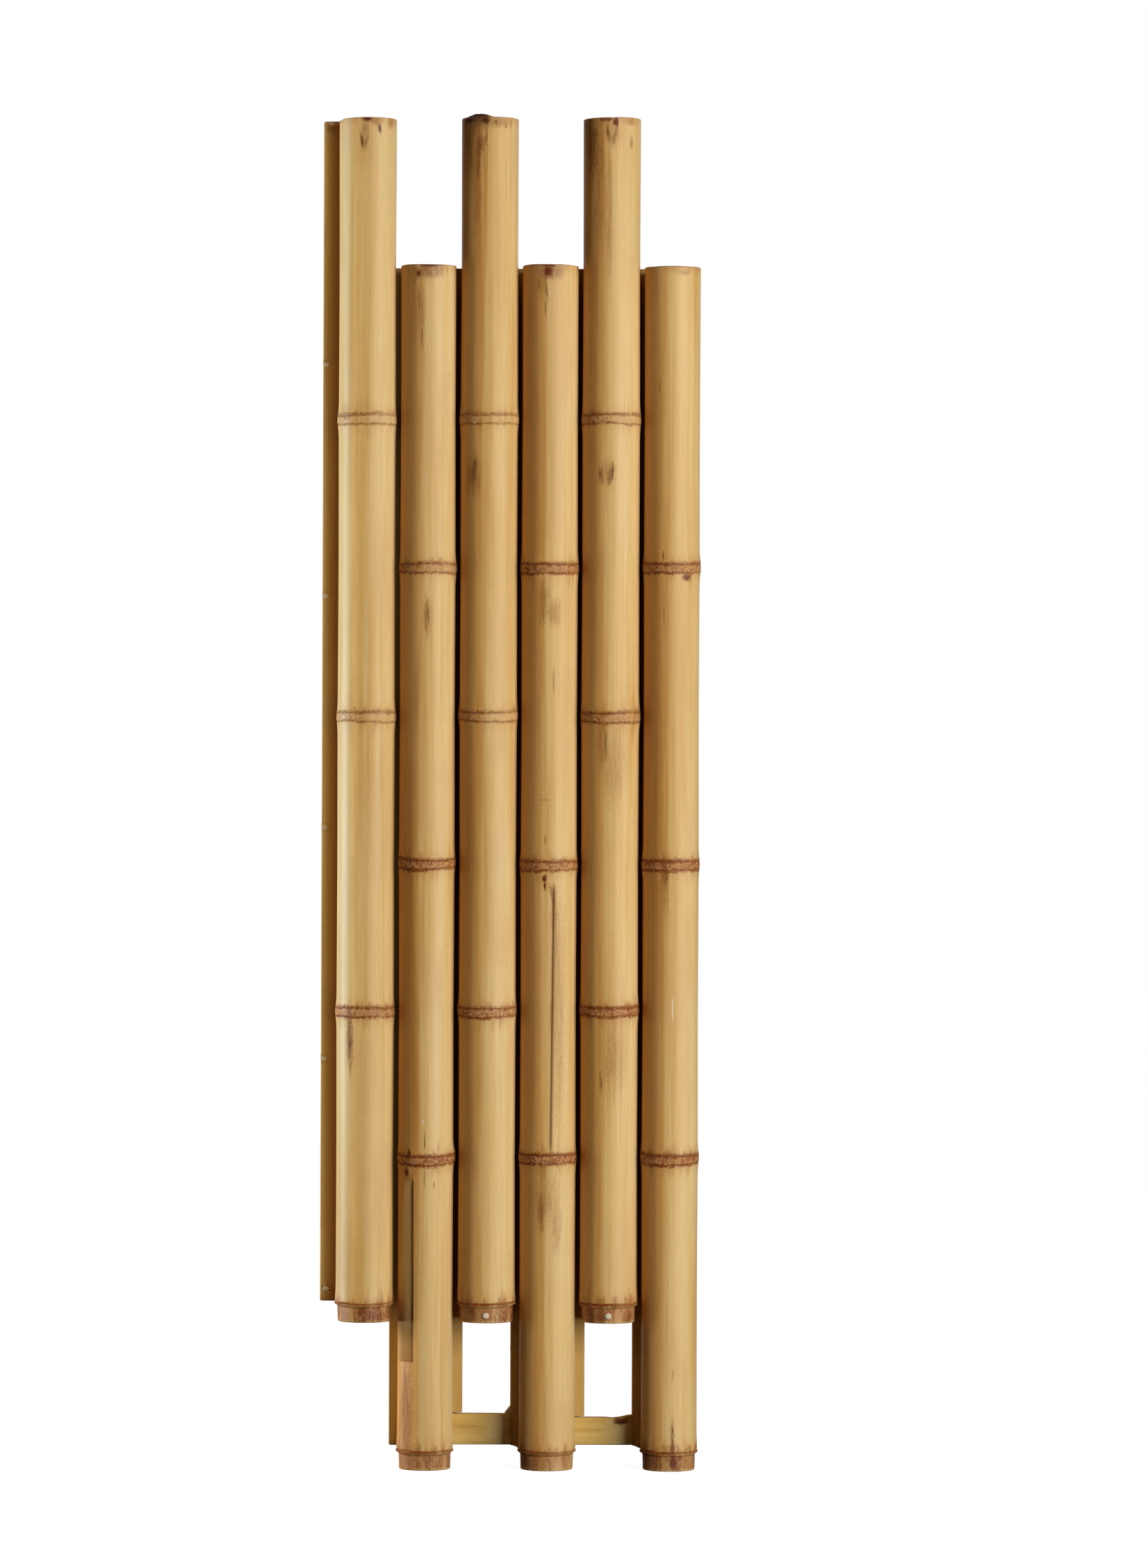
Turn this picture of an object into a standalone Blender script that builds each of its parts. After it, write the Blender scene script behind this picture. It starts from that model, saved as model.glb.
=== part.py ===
"""A bamboo pan flute: six equal closed pipes, every second one set lower, on a backing of slats.

Row frame: +X to the right and -Y to the front of the standing flute, +Z up towards the mouths. The origin
is at the centre of the flute's footprint, on the surface that the three lower pipes stand on.
"""

import math

import bmesh
import bpy
from mathutils import Matrix, Vector

# Driving dimensions, in metres.
PIPE_COUNT = 6
PIPE_RADIUS = 0.0110
PIPE_PITCH = 0.0236
PIPE_LENGTH = 0.4655
PIPE_STAGGER = 0.0570
BORE_RADIUS = 0.0080
STUB_RADIUS = 0.0100
RIM_CHAMFER = 0.0004

NODE_COUNT = 4
NODE_RADIUS = 0.0116
NODE_SPACING = 0.1142
FIRST_NODE_HEIGHT = 0.0065
NODE_BAND_HALF = 0.0014
NODE_FOOT_HALF = 0.0022

SEPTUM_BOTTOM = 0.0050
SEPTUM_TOP = 0.0080
RECESS_RADIUS = 0.0072

LOWEST_NOTE_HZ = 196.0
NOTE_STEPS = (0, 2, 4, 7, 9, 12)
SPEED_OF_SOUND = 343.0
END_CORRECTION = 0.6
PLUG_LENGTH = 0.0120
PLUG_CHAMFER = 0.0006

GAP = 0.0003
SLAT_THICKNESS = 0.0040
SLAT_EDGES = (-0.0767, -0.0499, -0.0210, -0.0027, 0.0265, 0.0446, 0.0695)
LOWER_SLAT_FOOT = 0.0077
SHORT_SLAT_FOOT = 0.0565
FIRST_SLAT_FOOT = 0.0636
SLAT_BEVEL = 0.0004

RAIL_TOPS = {"foot_rail_left": 0.0201, "foot_rail_right": 0.0188}
RAIL_SLATS = {"foot_rail_left": 2, "foot_rail_right": 4}
NOTCH_DEPTH = 0.0068

BATTEN_THICKNESS = 0.0040
BATTEN_HEIGHT = 0.0090
BATTEN_INSET = 0.0010
LOWER_BATTEN_HEIGHT = 0.0685
UPPER_BATTEN_HEIGHT = 0.4460
BATTEN_PEG_RADIUS = 0.0010
EDGE_PEG_INSET = 0.0024

STUB_PEG_RADIUS = 0.00125
STUB_PEG_HEIGHT = 0.0029
STUB_PEG_PIPES = (3, 5)
STUB_PEG_PROUD = 0.0004

ROUND_SEGMENTS = 24
PEG_SEGMENTS = 12
SHARP_ANGLE = math.radians(30.0)
MERGE_DISTANCE = 1e-6
CUTTER_OVERRUN = 0.0020

# Derived positions. Across the flute, slats and pipes are measured from the middle of the row of pipes.
FIRST_PIPE_X = -PIPE_PITCH * (PIPE_COUNT - 1) / 2.0
LEFT_END = SLAT_EDGES[0]
RIGHT_END = -FIRST_PIPE_X + NODE_RADIUS
SLAT_FRONT = NODE_RADIUS + GAP
SLAT_BACK = SLAT_FRONT + SLAT_THICKNESS
BATTEN_FRONT = SLAT_BACK + GAP
BATTEN_BACK = BATTEN_FRONT + BATTEN_THICKNESS
ROW_ORIGIN = Vector((-(LEFT_END + RIGHT_END) / 2.0, -(BATTEN_BACK - NODE_RADIUS) / 2.0, 0.0))

# Base colour and roughness of each material.
BAMBOO_SKIN = ((0.66, 0.43, 0.17), 0.38)
BAMBOO_SLAT = ((0.55, 0.33, 0.10), 0.48)
BAMBOO_RAIL = ((0.58, 0.36, 0.12), 0.50)
BAMBOO_BATTEN = ((0.60, 0.41, 0.20), 0.60)
PALE_PEG = ((0.80, 0.63, 0.42), 0.60)
CORK = ((0.48, 0.29, 0.15), 0.85)


def clear_scene():
    for thing in list(bpy.data.objects):
        bpy.data.objects.remove(thing, do_unlink=True)


def make_material(name, finish):
    colour, roughness = finish
    material = bpy.data.materials.new(name)
    material.use_nodes = True
    shader = material.node_tree.nodes["Principled BSDF"]
    shader.inputs["Base Color"].default_value = (*colour, 1.0)
    shader.inputs["Roughness"].default_value = roughness
    shader.inputs["Metallic"].default_value = 0.0
    material.diffuse_color = (*colour, 1.0)
    return material


def place(name, mesh, finish, location, parent):
    """Adds the mesh to the scene as one sub-part, with a material of its own."""
    piece = bpy.data.objects.new(name, mesh)
    bpy.context.scene.collection.objects.link(piece)
    if not mesh.materials:
        mesh.materials.append(None)
    piece.material_slots[0].link = "OBJECT"
    piece.material_slots[0].material = make_material(name + "_finish", finish)
    piece.location = location
    piece.parent = parent
    return piece


def mesh_from(shape, name):
    """Turns a bmesh into a mesh with its faces out, smooth where it is round."""
    bmesh.ops.recalc_face_normals(shape, faces=shape.faces)
    mesh = bpy.data.meshes.new(name)
    shape.to_mesh(mesh)
    shape.free()
    mesh.shade_smooth()
    mesh.set_sharp_from_angle(angle=SHARP_ANGLE)
    return mesh


def turned(name, profile):
    """A solid turned about Z from (radius, height) points that start and end on the axis."""
    shape = bmesh.new()
    points = [shape.verts.new((radius, 0.0, height)) for radius, height in profile]
    edges = [shape.edges.new(pair) for pair in zip(points, points[1:])]
    bmesh.ops.spin(
        shape,
        geom=points + edges,
        cent=(0.0, 0.0, 0.0),
        axis=(0.0, 0.0, 1.0),
        angle=2.0 * math.pi,
        steps=ROUND_SEGMENTS,
    )
    bmesh.ops.remove_doubles(shape, verts=shape.verts, dist=MERGE_DISTANCE)
    return mesh_from(shape, name)


def plate(name, outline, front, back):
    """A flat plate with the outline given as (x, z) points, from y = front to y = back."""
    shape = bmesh.new()
    corners = [shape.verts.new((x, front, z)) for x, z in outline]
    face = shape.faces.new(corners)
    swept = bmesh.ops.extrude_face_region(shape, geom=[face])["geom"]
    moved = [item for item in swept if isinstance(item, bmesh.types.BMVert)]
    bmesh.ops.translate(shape, verts=moved, vec=(0.0, back - front, 0.0))
    return mesh_from(shape, name)


def rods(name, radius, centres, front, back):
    """Round rods along Y, one through each (x, z) centre."""
    shape = bmesh.new()
    for x, z in centres:
        along_y = Matrix.Rotation(math.pi / 2.0, 4, "X")
        bmesh.ops.create_cone(
            shape,
            cap_ends=True,
            segments=PEG_SEGMENTS,
            radius1=radius,
            radius2=radius,
            depth=back - front,
            matrix=Matrix.Translation((x, (front + back) / 2.0, z)) @ along_y,
        )
    return mesh_from(shape, name)


def soften(piece):
    bevel = piece.modifiers.new("eased_edges", "BEVEL")
    bevel.width = SLAT_BEVEL
    bevel.segments = 1
    bevel.limit_method = "ANGLE"


def drill(piece, cutter):
    cut = piece.modifiers.new(cutter.name, "BOOLEAN")
    cut.operation = "DIFFERENCE"
    cut.solver = "EXACT"
    cut.object = cutter


def make_cutter(name, mesh, parent):
    cutter = bpy.data.objects.new(name, mesh)
    bpy.context.scene.collection.objects.link(cutter)
    cutter.parent = parent
    cutter.hide_render = True
    cutter.display_type = "WIRE"
    return cutter


def pipe_x(number):
    return FIRST_PIPE_X + (number - 1) * PIPE_PITCH


def pipe_foot(number):
    """Height of a pipe's closed end: the odd pipes are raised and the even ones stand on the surface."""
    return PIPE_STAGGER if number % 2 else 0.0


def pipe_profile():
    """Half section of a pipe, from the underside of its septum round the outside and down the bore."""
    profile = [
        (0.0, SEPTUM_BOTTOM),
        (RECESS_RADIUS, SEPTUM_BOTTOM),
        (RECESS_RADIUS, 0.0),
        (STUB_RADIUS - RIM_CHAMFER, 0.0),
        (STUB_RADIUS, RIM_CHAMFER),
    ]
    for node in range(NODE_COUNT):
        height = FIRST_NODE_HEIGHT + node * NODE_SPACING
        radius_below = PIPE_RADIUS if node else STUB_RADIUS
        profile += [
            (radius_below, height - NODE_FOOT_HALF),
            (NODE_RADIUS, height - NODE_BAND_HALF),
            (NODE_RADIUS, height + NODE_BAND_HALF),
            (PIPE_RADIUS, height + NODE_FOOT_HALF),
        ]
    return profile + [
        (PIPE_RADIUS, PIPE_LENGTH - RIM_CHAMFER),
        (PIPE_RADIUS - RIM_CHAMFER, PIPE_LENGTH),
        (BORE_RADIUS, PIPE_LENGTH),
        (BORE_RADIUS, SEPTUM_TOP),
        (0.0, SEPTUM_TOP),
    ]


def sounding_length(number):
    """Air column of a pipe closed at one end, for its note, less the correction at the open end."""
    frequency = LOWEST_NOTE_HZ * 2.0 ** (NOTE_STEPS[number - 1] / 12.0)
    return SPEED_OF_SOUND / (4.0 * frequency) - END_CORRECTION * BORE_RADIUS


def plug_profile():
    radius = BORE_RADIUS - GAP
    half = PLUG_LENGTH / 2.0
    return [
        (0.0, -half),
        (radius - PLUG_CHAMFER, -half),
        (radius, PLUG_CHAMFER - half),
        (radius, half - PLUG_CHAMFER),
        (radius - PLUG_CHAMFER, half),
        (0.0, half),
    ]


def slat_span(number):
    """Left and right edges of a slat, with half a gap given up at each joint with a neighbour."""
    left = SLAT_EDGES[number - 1] + (GAP / 2.0 if number > 1 else 0.0)
    right = SLAT_EDGES[number] - (GAP / 2.0 if number < PIPE_COUNT else 0.0)
    return left, right


def slat_foot(number):
    if number == 1:
        return FIRST_SLAT_FOOT
    return SHORT_SLAT_FOOT if number % 2 else LOWER_SLAT_FOOT


def slat_outline(number):
    """A slat ends level with its pipe's mouth. A slat that takes a rail has a notch in its lower right corner."""
    left, right = slat_span(number)
    foot = slat_foot(number)
    top = pipe_foot(number) + PIPE_LENGTH
    rails = [name for name, slat in RAIL_SLATS.items() if slat == number]
    if not rails:
        return [(left, foot), (right, foot), (right, top), (left, top)]
    shoulder = RAIL_TOPS[rails[0]] + GAP
    notch = SLAT_EDGES[number] - NOTCH_DEPTH
    return [(left, foot), (notch, foot), (notch, shoulder), (right, shoulder), (right, top), (left, top)]


def rail_outline(name):
    """A rail runs from the notch in the slat at its left to the edge of the slat at its right."""
    slat = RAIL_SLATS[name]
    left = SLAT_EDGES[slat] - NOTCH_DEPTH + GAP
    right = slat_span(slat + 2)[0] - GAP
    return [(left, LOWER_SLAT_FOOT), (right, LOWER_SLAT_FOOT), (right, RAIL_TOPS[name]), (left, RAIL_TOPS[name])]


def batten_outline(height):
    left = SLAT_EDGES[0] + BATTEN_INSET
    right = SLAT_EDGES[-1] - BATTEN_INSET
    low = height - BATTEN_HEIGHT / 2.0
    high = height + BATTEN_HEIGHT / 2.0
    return [(left, low), (right, low), (right, high), (left, high)]


def make_pipes(parent, stub_cutter):
    mesh = turned("pipe", pipe_profile())
    for number in range(1, PIPE_COUNT + 1):
        location = (pipe_x(number), 0.0, pipe_foot(number))
        pipe = place(f"pipe_{number}", mesh, BAMBOO_SKIN, location, parent)
        if number in STUB_PEG_PIPES:
            drill(pipe, stub_cutter)


def make_plugs(parent):
    """One cork stop in each bore, with its top at the bottom of the air column."""
    mesh = turned("tuning_plug", plug_profile())
    for number in range(1, PIPE_COUNT + 1):
        mouth = pipe_foot(number) + PIPE_LENGTH
        height = mouth - sounding_length(number) - PLUG_LENGTH / 2.0
        place(f"tuning_plug_{number}", mesh, CORK, (pipe_x(number), 0.0, height), parent)


def make_slats(parent, batten_cutter, stub_cutter):
    for number in range(1, PIPE_COUNT + 1):
        name = f"back_slat_{number}"
        mesh = plate(name, slat_outline(number), SLAT_FRONT, SLAT_BACK)
        slat = place(name, mesh, BAMBOO_SLAT, (0.0, 0.0, 0.0), parent)
        soften(slat)
        drill(slat, batten_cutter)
        if number in STUB_PEG_PIPES:
            drill(slat, stub_cutter)


def make_rails(parent):
    for name in RAIL_SLATS:
        mesh = plate(name, rail_outline(name), SLAT_FRONT, SLAT_BACK)
        soften(place(name, mesh, BAMBOO_RAIL, (0.0, 0.0, 0.0), parent))


def make_battens(parent, batten_cutter):
    for name, height in (("lower_batten", LOWER_BATTEN_HEIGHT), ("upper_batten", UPPER_BATTEN_HEIGHT)):
        mesh = plate(name, batten_outline(height), BATTEN_FRONT, BATTEN_BACK)
        batten = place(name, mesh, BAMBOO_BATTEN, (0.0, 0.0, 0.0), parent)
        soften(batten)
        drill(batten, batten_cutter)


def batten_peg_centres():
    """Centre of each peg that pins a slat to a batten, by the peg's name: one through each slat."""
    columns = {number: pipe_x(number) for number in range(1, PIPE_COUNT + 1)}
    centres = {f"upper_peg_{number}": (x, UPPER_BATTEN_HEIGHT) for number, x in columns.items()}
    columns[1] = SLAT_EDGES[0] + EDGE_PEG_INSET
    centres.update({f"lower_peg_{number}": (x, LOWER_BATTEN_HEIGHT) for number, x in columns.items()})
    return centres


def stub_peg_centre(number):
    return pipe_x(number), pipe_foot(number) + STUB_PEG_HEIGHT


def make_pegs(parent):
    for name, centre in batten_peg_centres().items():
        mesh = rods(name, BATTEN_PEG_RADIUS, [centre], SLAT_FRONT, BATTEN_BACK)
        place(name, mesh, PALE_PEG, (0.0, 0.0, 0.0), parent)
    for number in STUB_PEG_PIPES:
        front = -STUB_RADIUS - STUB_PEG_PROUD
        mesh = rods("stub_peg", STUB_PEG_RADIUS, [stub_peg_centre(number)], front, SLAT_BACK)
        place(f"stub_peg_{number}", mesh, PALE_PEG, (0.0, 0.0, 0.0), parent)


def make_cutters(parent):
    """Drills for the batten pegs and for the stub pegs, each wider than its peg by the gap."""
    centres = list(batten_peg_centres().values())
    low = SLAT_FRONT - CUTTER_OVERRUN
    high = BATTEN_BACK + CUTTER_OVERRUN
    batten_holes = rods("batten_peg_holes", BATTEN_PEG_RADIUS + GAP, centres, low, high)
    stubs = [stub_peg_centre(number) for number in STUB_PEG_PIPES]
    low = -STUB_RADIUS - CUTTER_OVERRUN
    high = SLAT_BACK + CUTTER_OVERRUN
    stub_holes = rods("stub_peg_holes", STUB_PEG_RADIUS + GAP, stubs, low, high)
    return make_cutter("batten_peg_holes", batten_holes, parent), make_cutter("stub_peg_holes", stub_holes, parent)


def main():
    clear_scene()
    row = bpy.data.objects.new("row_centre", None)
    bpy.context.scene.collection.objects.link(row)
    row.location = ROW_ORIGIN
    batten_cutter, stub_cutter = make_cutters(row)
    make_pipes(row, stub_cutter)
    make_plugs(row)
    make_slats(row, batten_cutter, stub_cutter)
    make_rails(row)
    make_battens(row, batten_cutter)
    make_pegs(row)


main()
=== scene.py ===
"""Looks of a six-pipe bamboo pan flute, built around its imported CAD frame.

Row frame, in metres: +X to the right and -Y to the front of the flute, +Z up. Shapes are worked out in
millimetres here and scaled when a mesh is made. An angle round a pipe is 0 at its front and grows to the
right.
"""

import math

import bpy
import numpy as np
from mathutils import Matrix, Vector


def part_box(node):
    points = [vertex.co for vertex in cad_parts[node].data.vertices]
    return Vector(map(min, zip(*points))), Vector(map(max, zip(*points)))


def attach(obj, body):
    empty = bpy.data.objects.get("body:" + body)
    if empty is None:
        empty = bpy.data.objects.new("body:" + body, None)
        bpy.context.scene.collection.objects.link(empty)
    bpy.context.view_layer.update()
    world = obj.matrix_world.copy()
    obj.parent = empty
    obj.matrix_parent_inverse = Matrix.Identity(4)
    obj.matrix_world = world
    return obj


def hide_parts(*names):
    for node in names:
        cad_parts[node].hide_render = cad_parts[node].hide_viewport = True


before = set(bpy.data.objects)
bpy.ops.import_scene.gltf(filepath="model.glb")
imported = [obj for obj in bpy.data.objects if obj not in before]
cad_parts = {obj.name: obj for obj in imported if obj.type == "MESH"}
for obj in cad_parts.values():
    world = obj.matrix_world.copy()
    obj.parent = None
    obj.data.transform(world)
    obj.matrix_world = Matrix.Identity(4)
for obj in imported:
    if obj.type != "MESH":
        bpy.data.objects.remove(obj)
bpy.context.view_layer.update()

MM = 0.001
PIPE_NUMBERS = range(1, 7)
MAIN_BODY = "flute_body"

# Pipes, in millimetres. Heights are above the pipe's own foot.
SKIN_RADIUS = 11.0
# Each pipe's own skin radius between its rings.
PIPE_RADII = {1: 11.08, 2: 10.72, 3: 11.0, 4: 10.8, 5: 11.1, 6: 10.85}
BORE_RADIUS = 8.0
RECESS_RADIUS = 7.2
SEPTUM_UNDERSIDE = 5.0
SEPTUM_TOPSIDE = 8.0
FIRST_NODE = 6.5
NODE_STEP = 114.2
NODE_HEIGHTS = [FIRST_NODE + NODE_STEP * k for k in range(4)]
BACK_LIMIT = 11.8
PIPE_COLUMNS = 168
COARSE_STEP = 3.0
FINE_STEP = 0.22

# A ring's folds: how far each stands out of the skin, its offset above the ring's plane and its width.
RING_FOLDS = ((0.12, 2.12, 0.34), (-0.14, 1.62, 0.26), (-0.12, -1.95, 0.26), (0.05, -2.5, 0.35))
# Offsets of a ring's dark lines: the two scored ones, the lip's, and the closing node's only one.
UPPER_LINE = 1.72
LOWER_LINE = -1.92
LIP_LINE = 2.55
CLOSING_LINE = 0.55
# What is left of a drilled node comes no further in than this.
CLEAR_RADIUS = 7.84

# How strongly each node ring is stained, from the closing node up.
RING_STAINS = {
    1: (0.60, 0.62, 0.40, 0.34),
    2: (0.70, 0.85, 0.70, 0.54),
    3: (0.75, 0.62, 0.42, 0.36),
    4: (0.55, 0.80, 0.66, 0.64),
    5: (0.85, 0.80, 0.55, 0.48),
    6: (0.90, 1.00, 0.78, 0.60),
}

# How far each ring's front lies off its even spacing, in millimetres.
RING_SHIFTS = {
    1: (0.0, -1.0, -1.1, -0.5),
    2: (0.0, -1.2, -1.2, -0.9),
    3: (0.0, -1.1, -1.2, -0.3),
    4: (0.0, -0.5, -1.5, -1.1),
    5: (0.0, -0.6, -1.3, -0.1),
    6: (0.0, -0.7, -1.3, -0.8),
}
# How far each ring's sides rise above its front, in millimetres.
RING_RISES = {
    1: (0.5, 0.3, -0.1, -0.2),
    2: (0.6, 1.0, 1.1, 0.0),
    3: (0.8, 1.0, 1.2, 0.0),
    4: (0.6, 0.6, 0.5, 0.6),
    5: (0.5, 0.8, 0.9, -0.1),
    6: (0.6, 0.9, 0.6, 0.7),
}
# How brown and blotched each pipe's stub is, below the closing node.
STUB_STAINS = {1: 1.0, 2: 0.90, 3: 0.9, 4: 0.65, 5: 1.0, 6: 0.85}
# How far each rim is sawn below the full length, in millimetres.
RIM_DROPS = {1: 0.6, 2: 0.1, 3: 0.2, 4: 0.0, 5: 0.3, 6: 0.6}
# The pipe with nothing beside its left flank, which gets a painted highlight where the others get painted
# shade.
OUTER_PIPE = 1

# Side grooves that a branch left: lowest and highest height, angles of the sharp edge and of the shallow
# edge at those heights, depth, lengths over which the lower and upper ends fade, and the widths in degrees
# of the wall at the sharp edge and of the line of painted shade along it.
GROOVES = {
    2: dict(
        low=42.0, high=113.5, crease=(-25.0, -26.0), fade=(-92.0, -46.0),
        depth=0.95, low_end=0.7, high_end=4.0, wall=1.1, line=1.3,
    ),
    4: dict(
        low=123.5, high=228.0, crease=(7.0, 12.0), fade=(-17.0, -18.0),
        depth=0.45, low_end=8.0, high_end=5.0, wall=2.6, line=3.6,
    ),
}
# Buds at the tops of the grooves: angle, height, half width, half height, how far they stand out.
BUDS = {
    2: [(-40.0, 115.6, 1.3, 1.7, 0.55), (-33.0, 122.0, 0.9, 2.2, 0.35)],
    4: [(-8.5, 228.6, 1.1, 1.6, 0.45)],
}
# A bulge beside the second pipe's second ring: angle, spread in degrees, height above the ring, reach up and
# down, and how far it stands out.
BULGE = dict(pipe=2, angle=88.0, spread=30.0, above=1.5, reach=3.0, proud=0.45)
# A dip in the first pipe's rim: angle and spread in degrees, and depth.
RIM_DIP = dict(pipe=1, angle=-80.0, spread=11.0, depth=1.0)
# A lump of charred fibre left standing on the third pipe's cut end: angle and spread in degrees, the radius
# it stands at, its width across the wall and its height.
BURR = dict(pipe=3, angle=-24.0, spread=25.0, radius=9.8, width=1.5, height=1.1)

# Marks on the skin: angle, height, full width, full length, tilt in degrees, strength. A stain is dark and
# solid, a streak runs in fine lines, a smear is broad and faint, a bloom is a speckled red patch, and a pale
# mark is a nick.
MARKS = {
    1: dict(
        stain=[
            (-1, 464.4, 4.2, 2.8, 0, 0.85), (25, 460.6, 1.5, 4.6, 4, 0.8),
        ],
        streak=[
            (-4, 460.5, 3.4, 7.0, 0, 0.5), (-11, 456.0, 2.0, 8.5, 9, 0.8), (-3, 455.6, 2.0, 8.5, -9, 0.7),
            (-30, 109.0, 3.4, 20.0, -1, 0.75), (-30, 118.0, 1.2, 5.0, 0, 0.6),
        ],
        smear=[
            (20, 463.6, 7.0, 4.0, 0, 0.45), (54, 463.0, 5.0, 5.0, 0, 0.6), (-30, 108.0, 5.0, 26.0, 0, 0.45),
        ],
    ),
    2: dict(
        bloom=[
            (5, 462.6, 12.5, 6.2, 0, 0.95),
        ],
        stain=[
            (-21, 461.8, 2.2, 4.4, 0, 0.9), (3, 464.8, 9.0, 1.3, 0, 0.7), (-40, 115.2, 2.6, 3.4, 0, 1.0),
            (-33, 122.2, 1.9, 4.2, 8, 1.0),
        ],
        smear=[
            (-30, 461.0, 6.0, 8.0, 0, 0.3), (-16, 447.0, 4.5, 26.0, 1, 0.35),
            (0, 329.0, 3.4, 18.0, 0, 0.65), (-22, 300.0, 3.0, 34.0, 0, 0.3), (-44, 20.0, 9.5, 50.0, 0, 0.9),
        ],
        streak=[
            (-19, 452.0, 1.4, 12.0, 0, 0.5), (-12, 436.0, 1.2, 9.0, 0, 0.45), (1, 331.0, 1.3, 11.0, 0, 0.6),
            (-1, 127.0, 0.8, 9.0, 0, 0.7), (-1, 113.0, 0.8, 9.0, 0, 0.6), (19, 110.5, 1.0, 3.0, 0, 0.8),
        ],
        pale=[
            (-5, 134.7, 0.6, 1.5, 0, 1.0),
        ],
    ),
    3: dict(
        stain=[
            (-46, 464.2, 6.0, 2.2, 0, 0.75), (-10, 463.8, 3.4, 2.6, 0, 0.8), (12, 463.2, 1.3, 1.6, 0, 0.5),
            (34, 461.6, 0.9, 1.4, 0, 0.4),
        ],
        smear=[
            (-34, 452.0, 11.0, 36.0, 0, 0.65), (18, 463.0, 12.0, 4.2, 0, 0.5),
            (-26, 438.0, 6.0, 48.0, 0, 0.45), (-33, 327.0, 7.0, 18.0, 0, 0.65),
        ],
        streak=[
            (-44, 457.0, 5.0, 18.0, 0, 0.5), (-19, 454.6, 3.2, 11.0, -3, 0.95),
            (-10, 456.5, 1.6, 7.0, -6, 0.6), (-24, 446.0, 2.2, 8.0, 0, 0.45),
            (-30, 329.8, 2.2, 11.5, -3, 0.75), (-37, 327.6, 2.4, 7.0, 2, 0.7),
        ],
    ),
    4: dict(
        bloom=[
            (2, 462.4, 10.5, 6.0, 0, 0.9),
        ],
        stain=[
            (-5, 462.7, 3.0, 5.4, 3, 0.9), (-1, 464.9, 6.0, 1.1, 0, 0.7), (-8.5, 228.6, 2.0, 2.8, 0, 1.0),
            (-8.0, 225.6, 1.0, 3.6, 0, 0.8),
        ],
        streak=[
            (-8.0, 455.0, 1.3, 11.0, 6, 0.65), (-10.5, 449.0, 1.0, 7.0, 0, 0.5),
            (-24, 457.5, 1.6, 5.0, 0, 0.5), (-14, 100.0, 2.6, 15.0, 0, 0.45), (9, 305.0, 1.1, 13.0, 0, 0.6),
            (-10, 258.9, 5.0, 0.9, 0, 0.4), (6.0, 223.0, 1.6, 9.0, 7, 0.75),
            (-7.0, 243.5, 1.0, 4.0, 0, 0.6),
        ],
        smear=[
            (-18, 458.0, 6.0, 12.0, 0, 0.3), (-12, 336.0, 5.0, 20.0, 0, 0.65),
            (8, 331.0, 5.5, 13.0, 0, 0.5), (-8, 105.0, 13.0, 24.0, 0, 0.42), (20, 95.0, 5.0, 26.0, 0, 0.38),
            (24, 176.0, 6.0, 96.0, 0, 0.34), (9.0, 176.0, 3.0, 16.0, 0, 0.4),
            (15.0, 200.0, 3.4, 80.0, 0, 0.35), (12.0, 216.0, 3.0, 22.0, 0, 0.6),
        ],
    ),
    5: dict(
        stain=[
            (6, 463.4, 2.8, 4.4, 0, 0.9), (-12, 464.4, 6.0, 1.8, 0, 0.6),
        ],
        smear=[
            (-40, 452.0, 9.0, 44.0, 0, 0.7), (0, 459.0, 8.0, 10.0, 0, 0.35), (40, 463.6, 5.0, 3.4, 0, 0.55),
            (-28, 436.0, 8.0, 56.0, 0, 0.5), (-6, 428.0, 3.4, 60.0, 0, 0.4),
            (-11, 328.0, 7.5, 12.0, 0, 0.4), (-14, 222.0, 6.5, 24.0, 0, 0.55),
            (4, 214.0, 11.0, 34.0, 0, 0.38), (8, 103.0, 12.0, 34.0, 0, 0.42),
        ],
        streak=[
            (-46, 456.0, 6.0, 26.0, 0, 0.6), (-8, 458.4, 1.8, 9.5, 14, 0.75),
            (5, 458.0, 1.8, 9.0, -12, 0.75), (-38, 457.0, 1.8, 13.0, 0, 0.7),
            (41, 455.8, 1.8, 6.0, 0, 0.55), (-21.5, 327.1, 2.2, 8.0, 8, 0.85),
            (-1, 327.4, 2.3, 8.0, -10, 0.85), (-9, 224.0, 1.6, 14.0, 0, 0.55),
            (-17, 93.0, 2.0, 11.0, 0, 0.55),
        ],
    ),
    6: dict(
        bloom=[
            (25, 462.4, 6.0, 2.8, 0, 0.4),
        ],
        stain=[
            (5, 465.2, 18.0, 0.9, 0, 0.55), (7, 9.0, 2.2, 5.0, 0, 0.6), (9, 3.5, 3.2, 7.0, 0, 0.8),
            (30, 344.9, 3.6, 3.0, 0, 0.7),
        ],
        pale=[
            (4, 178.4, 0.45, 10.0, 0, 0.9),
        ],
        streak=[
            (7, 14.0, 1.6, 13.0, 0, 0.9), (7, 37.3, 1.0, 5.0, 0, 0.5), (-19, 353.0, 1.0, 5.0, 0, 0.7),
            (-13, 232.0, 2.2, 15.0, 0, 0.75), (-17, 333.0, 0.7, 20.0, 0, 0.45),
            (-27, 418.8, 0.8, 7.0, 0, 0.4),
        ],
        smear=[
            (-13, 225.0, 4.0, 22.0, 0, 0.45),
        ],
    ),
}

# Linear colours.
SKIN_LIGHT = (0.88, 0.625, 0.278)
SKIN_MID = (0.83, 0.532, 0.188)
SKIN_DEEP = (0.71, 0.395, 0.108)
BLUSH = (0.70, 0.385, 0.145)
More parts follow.
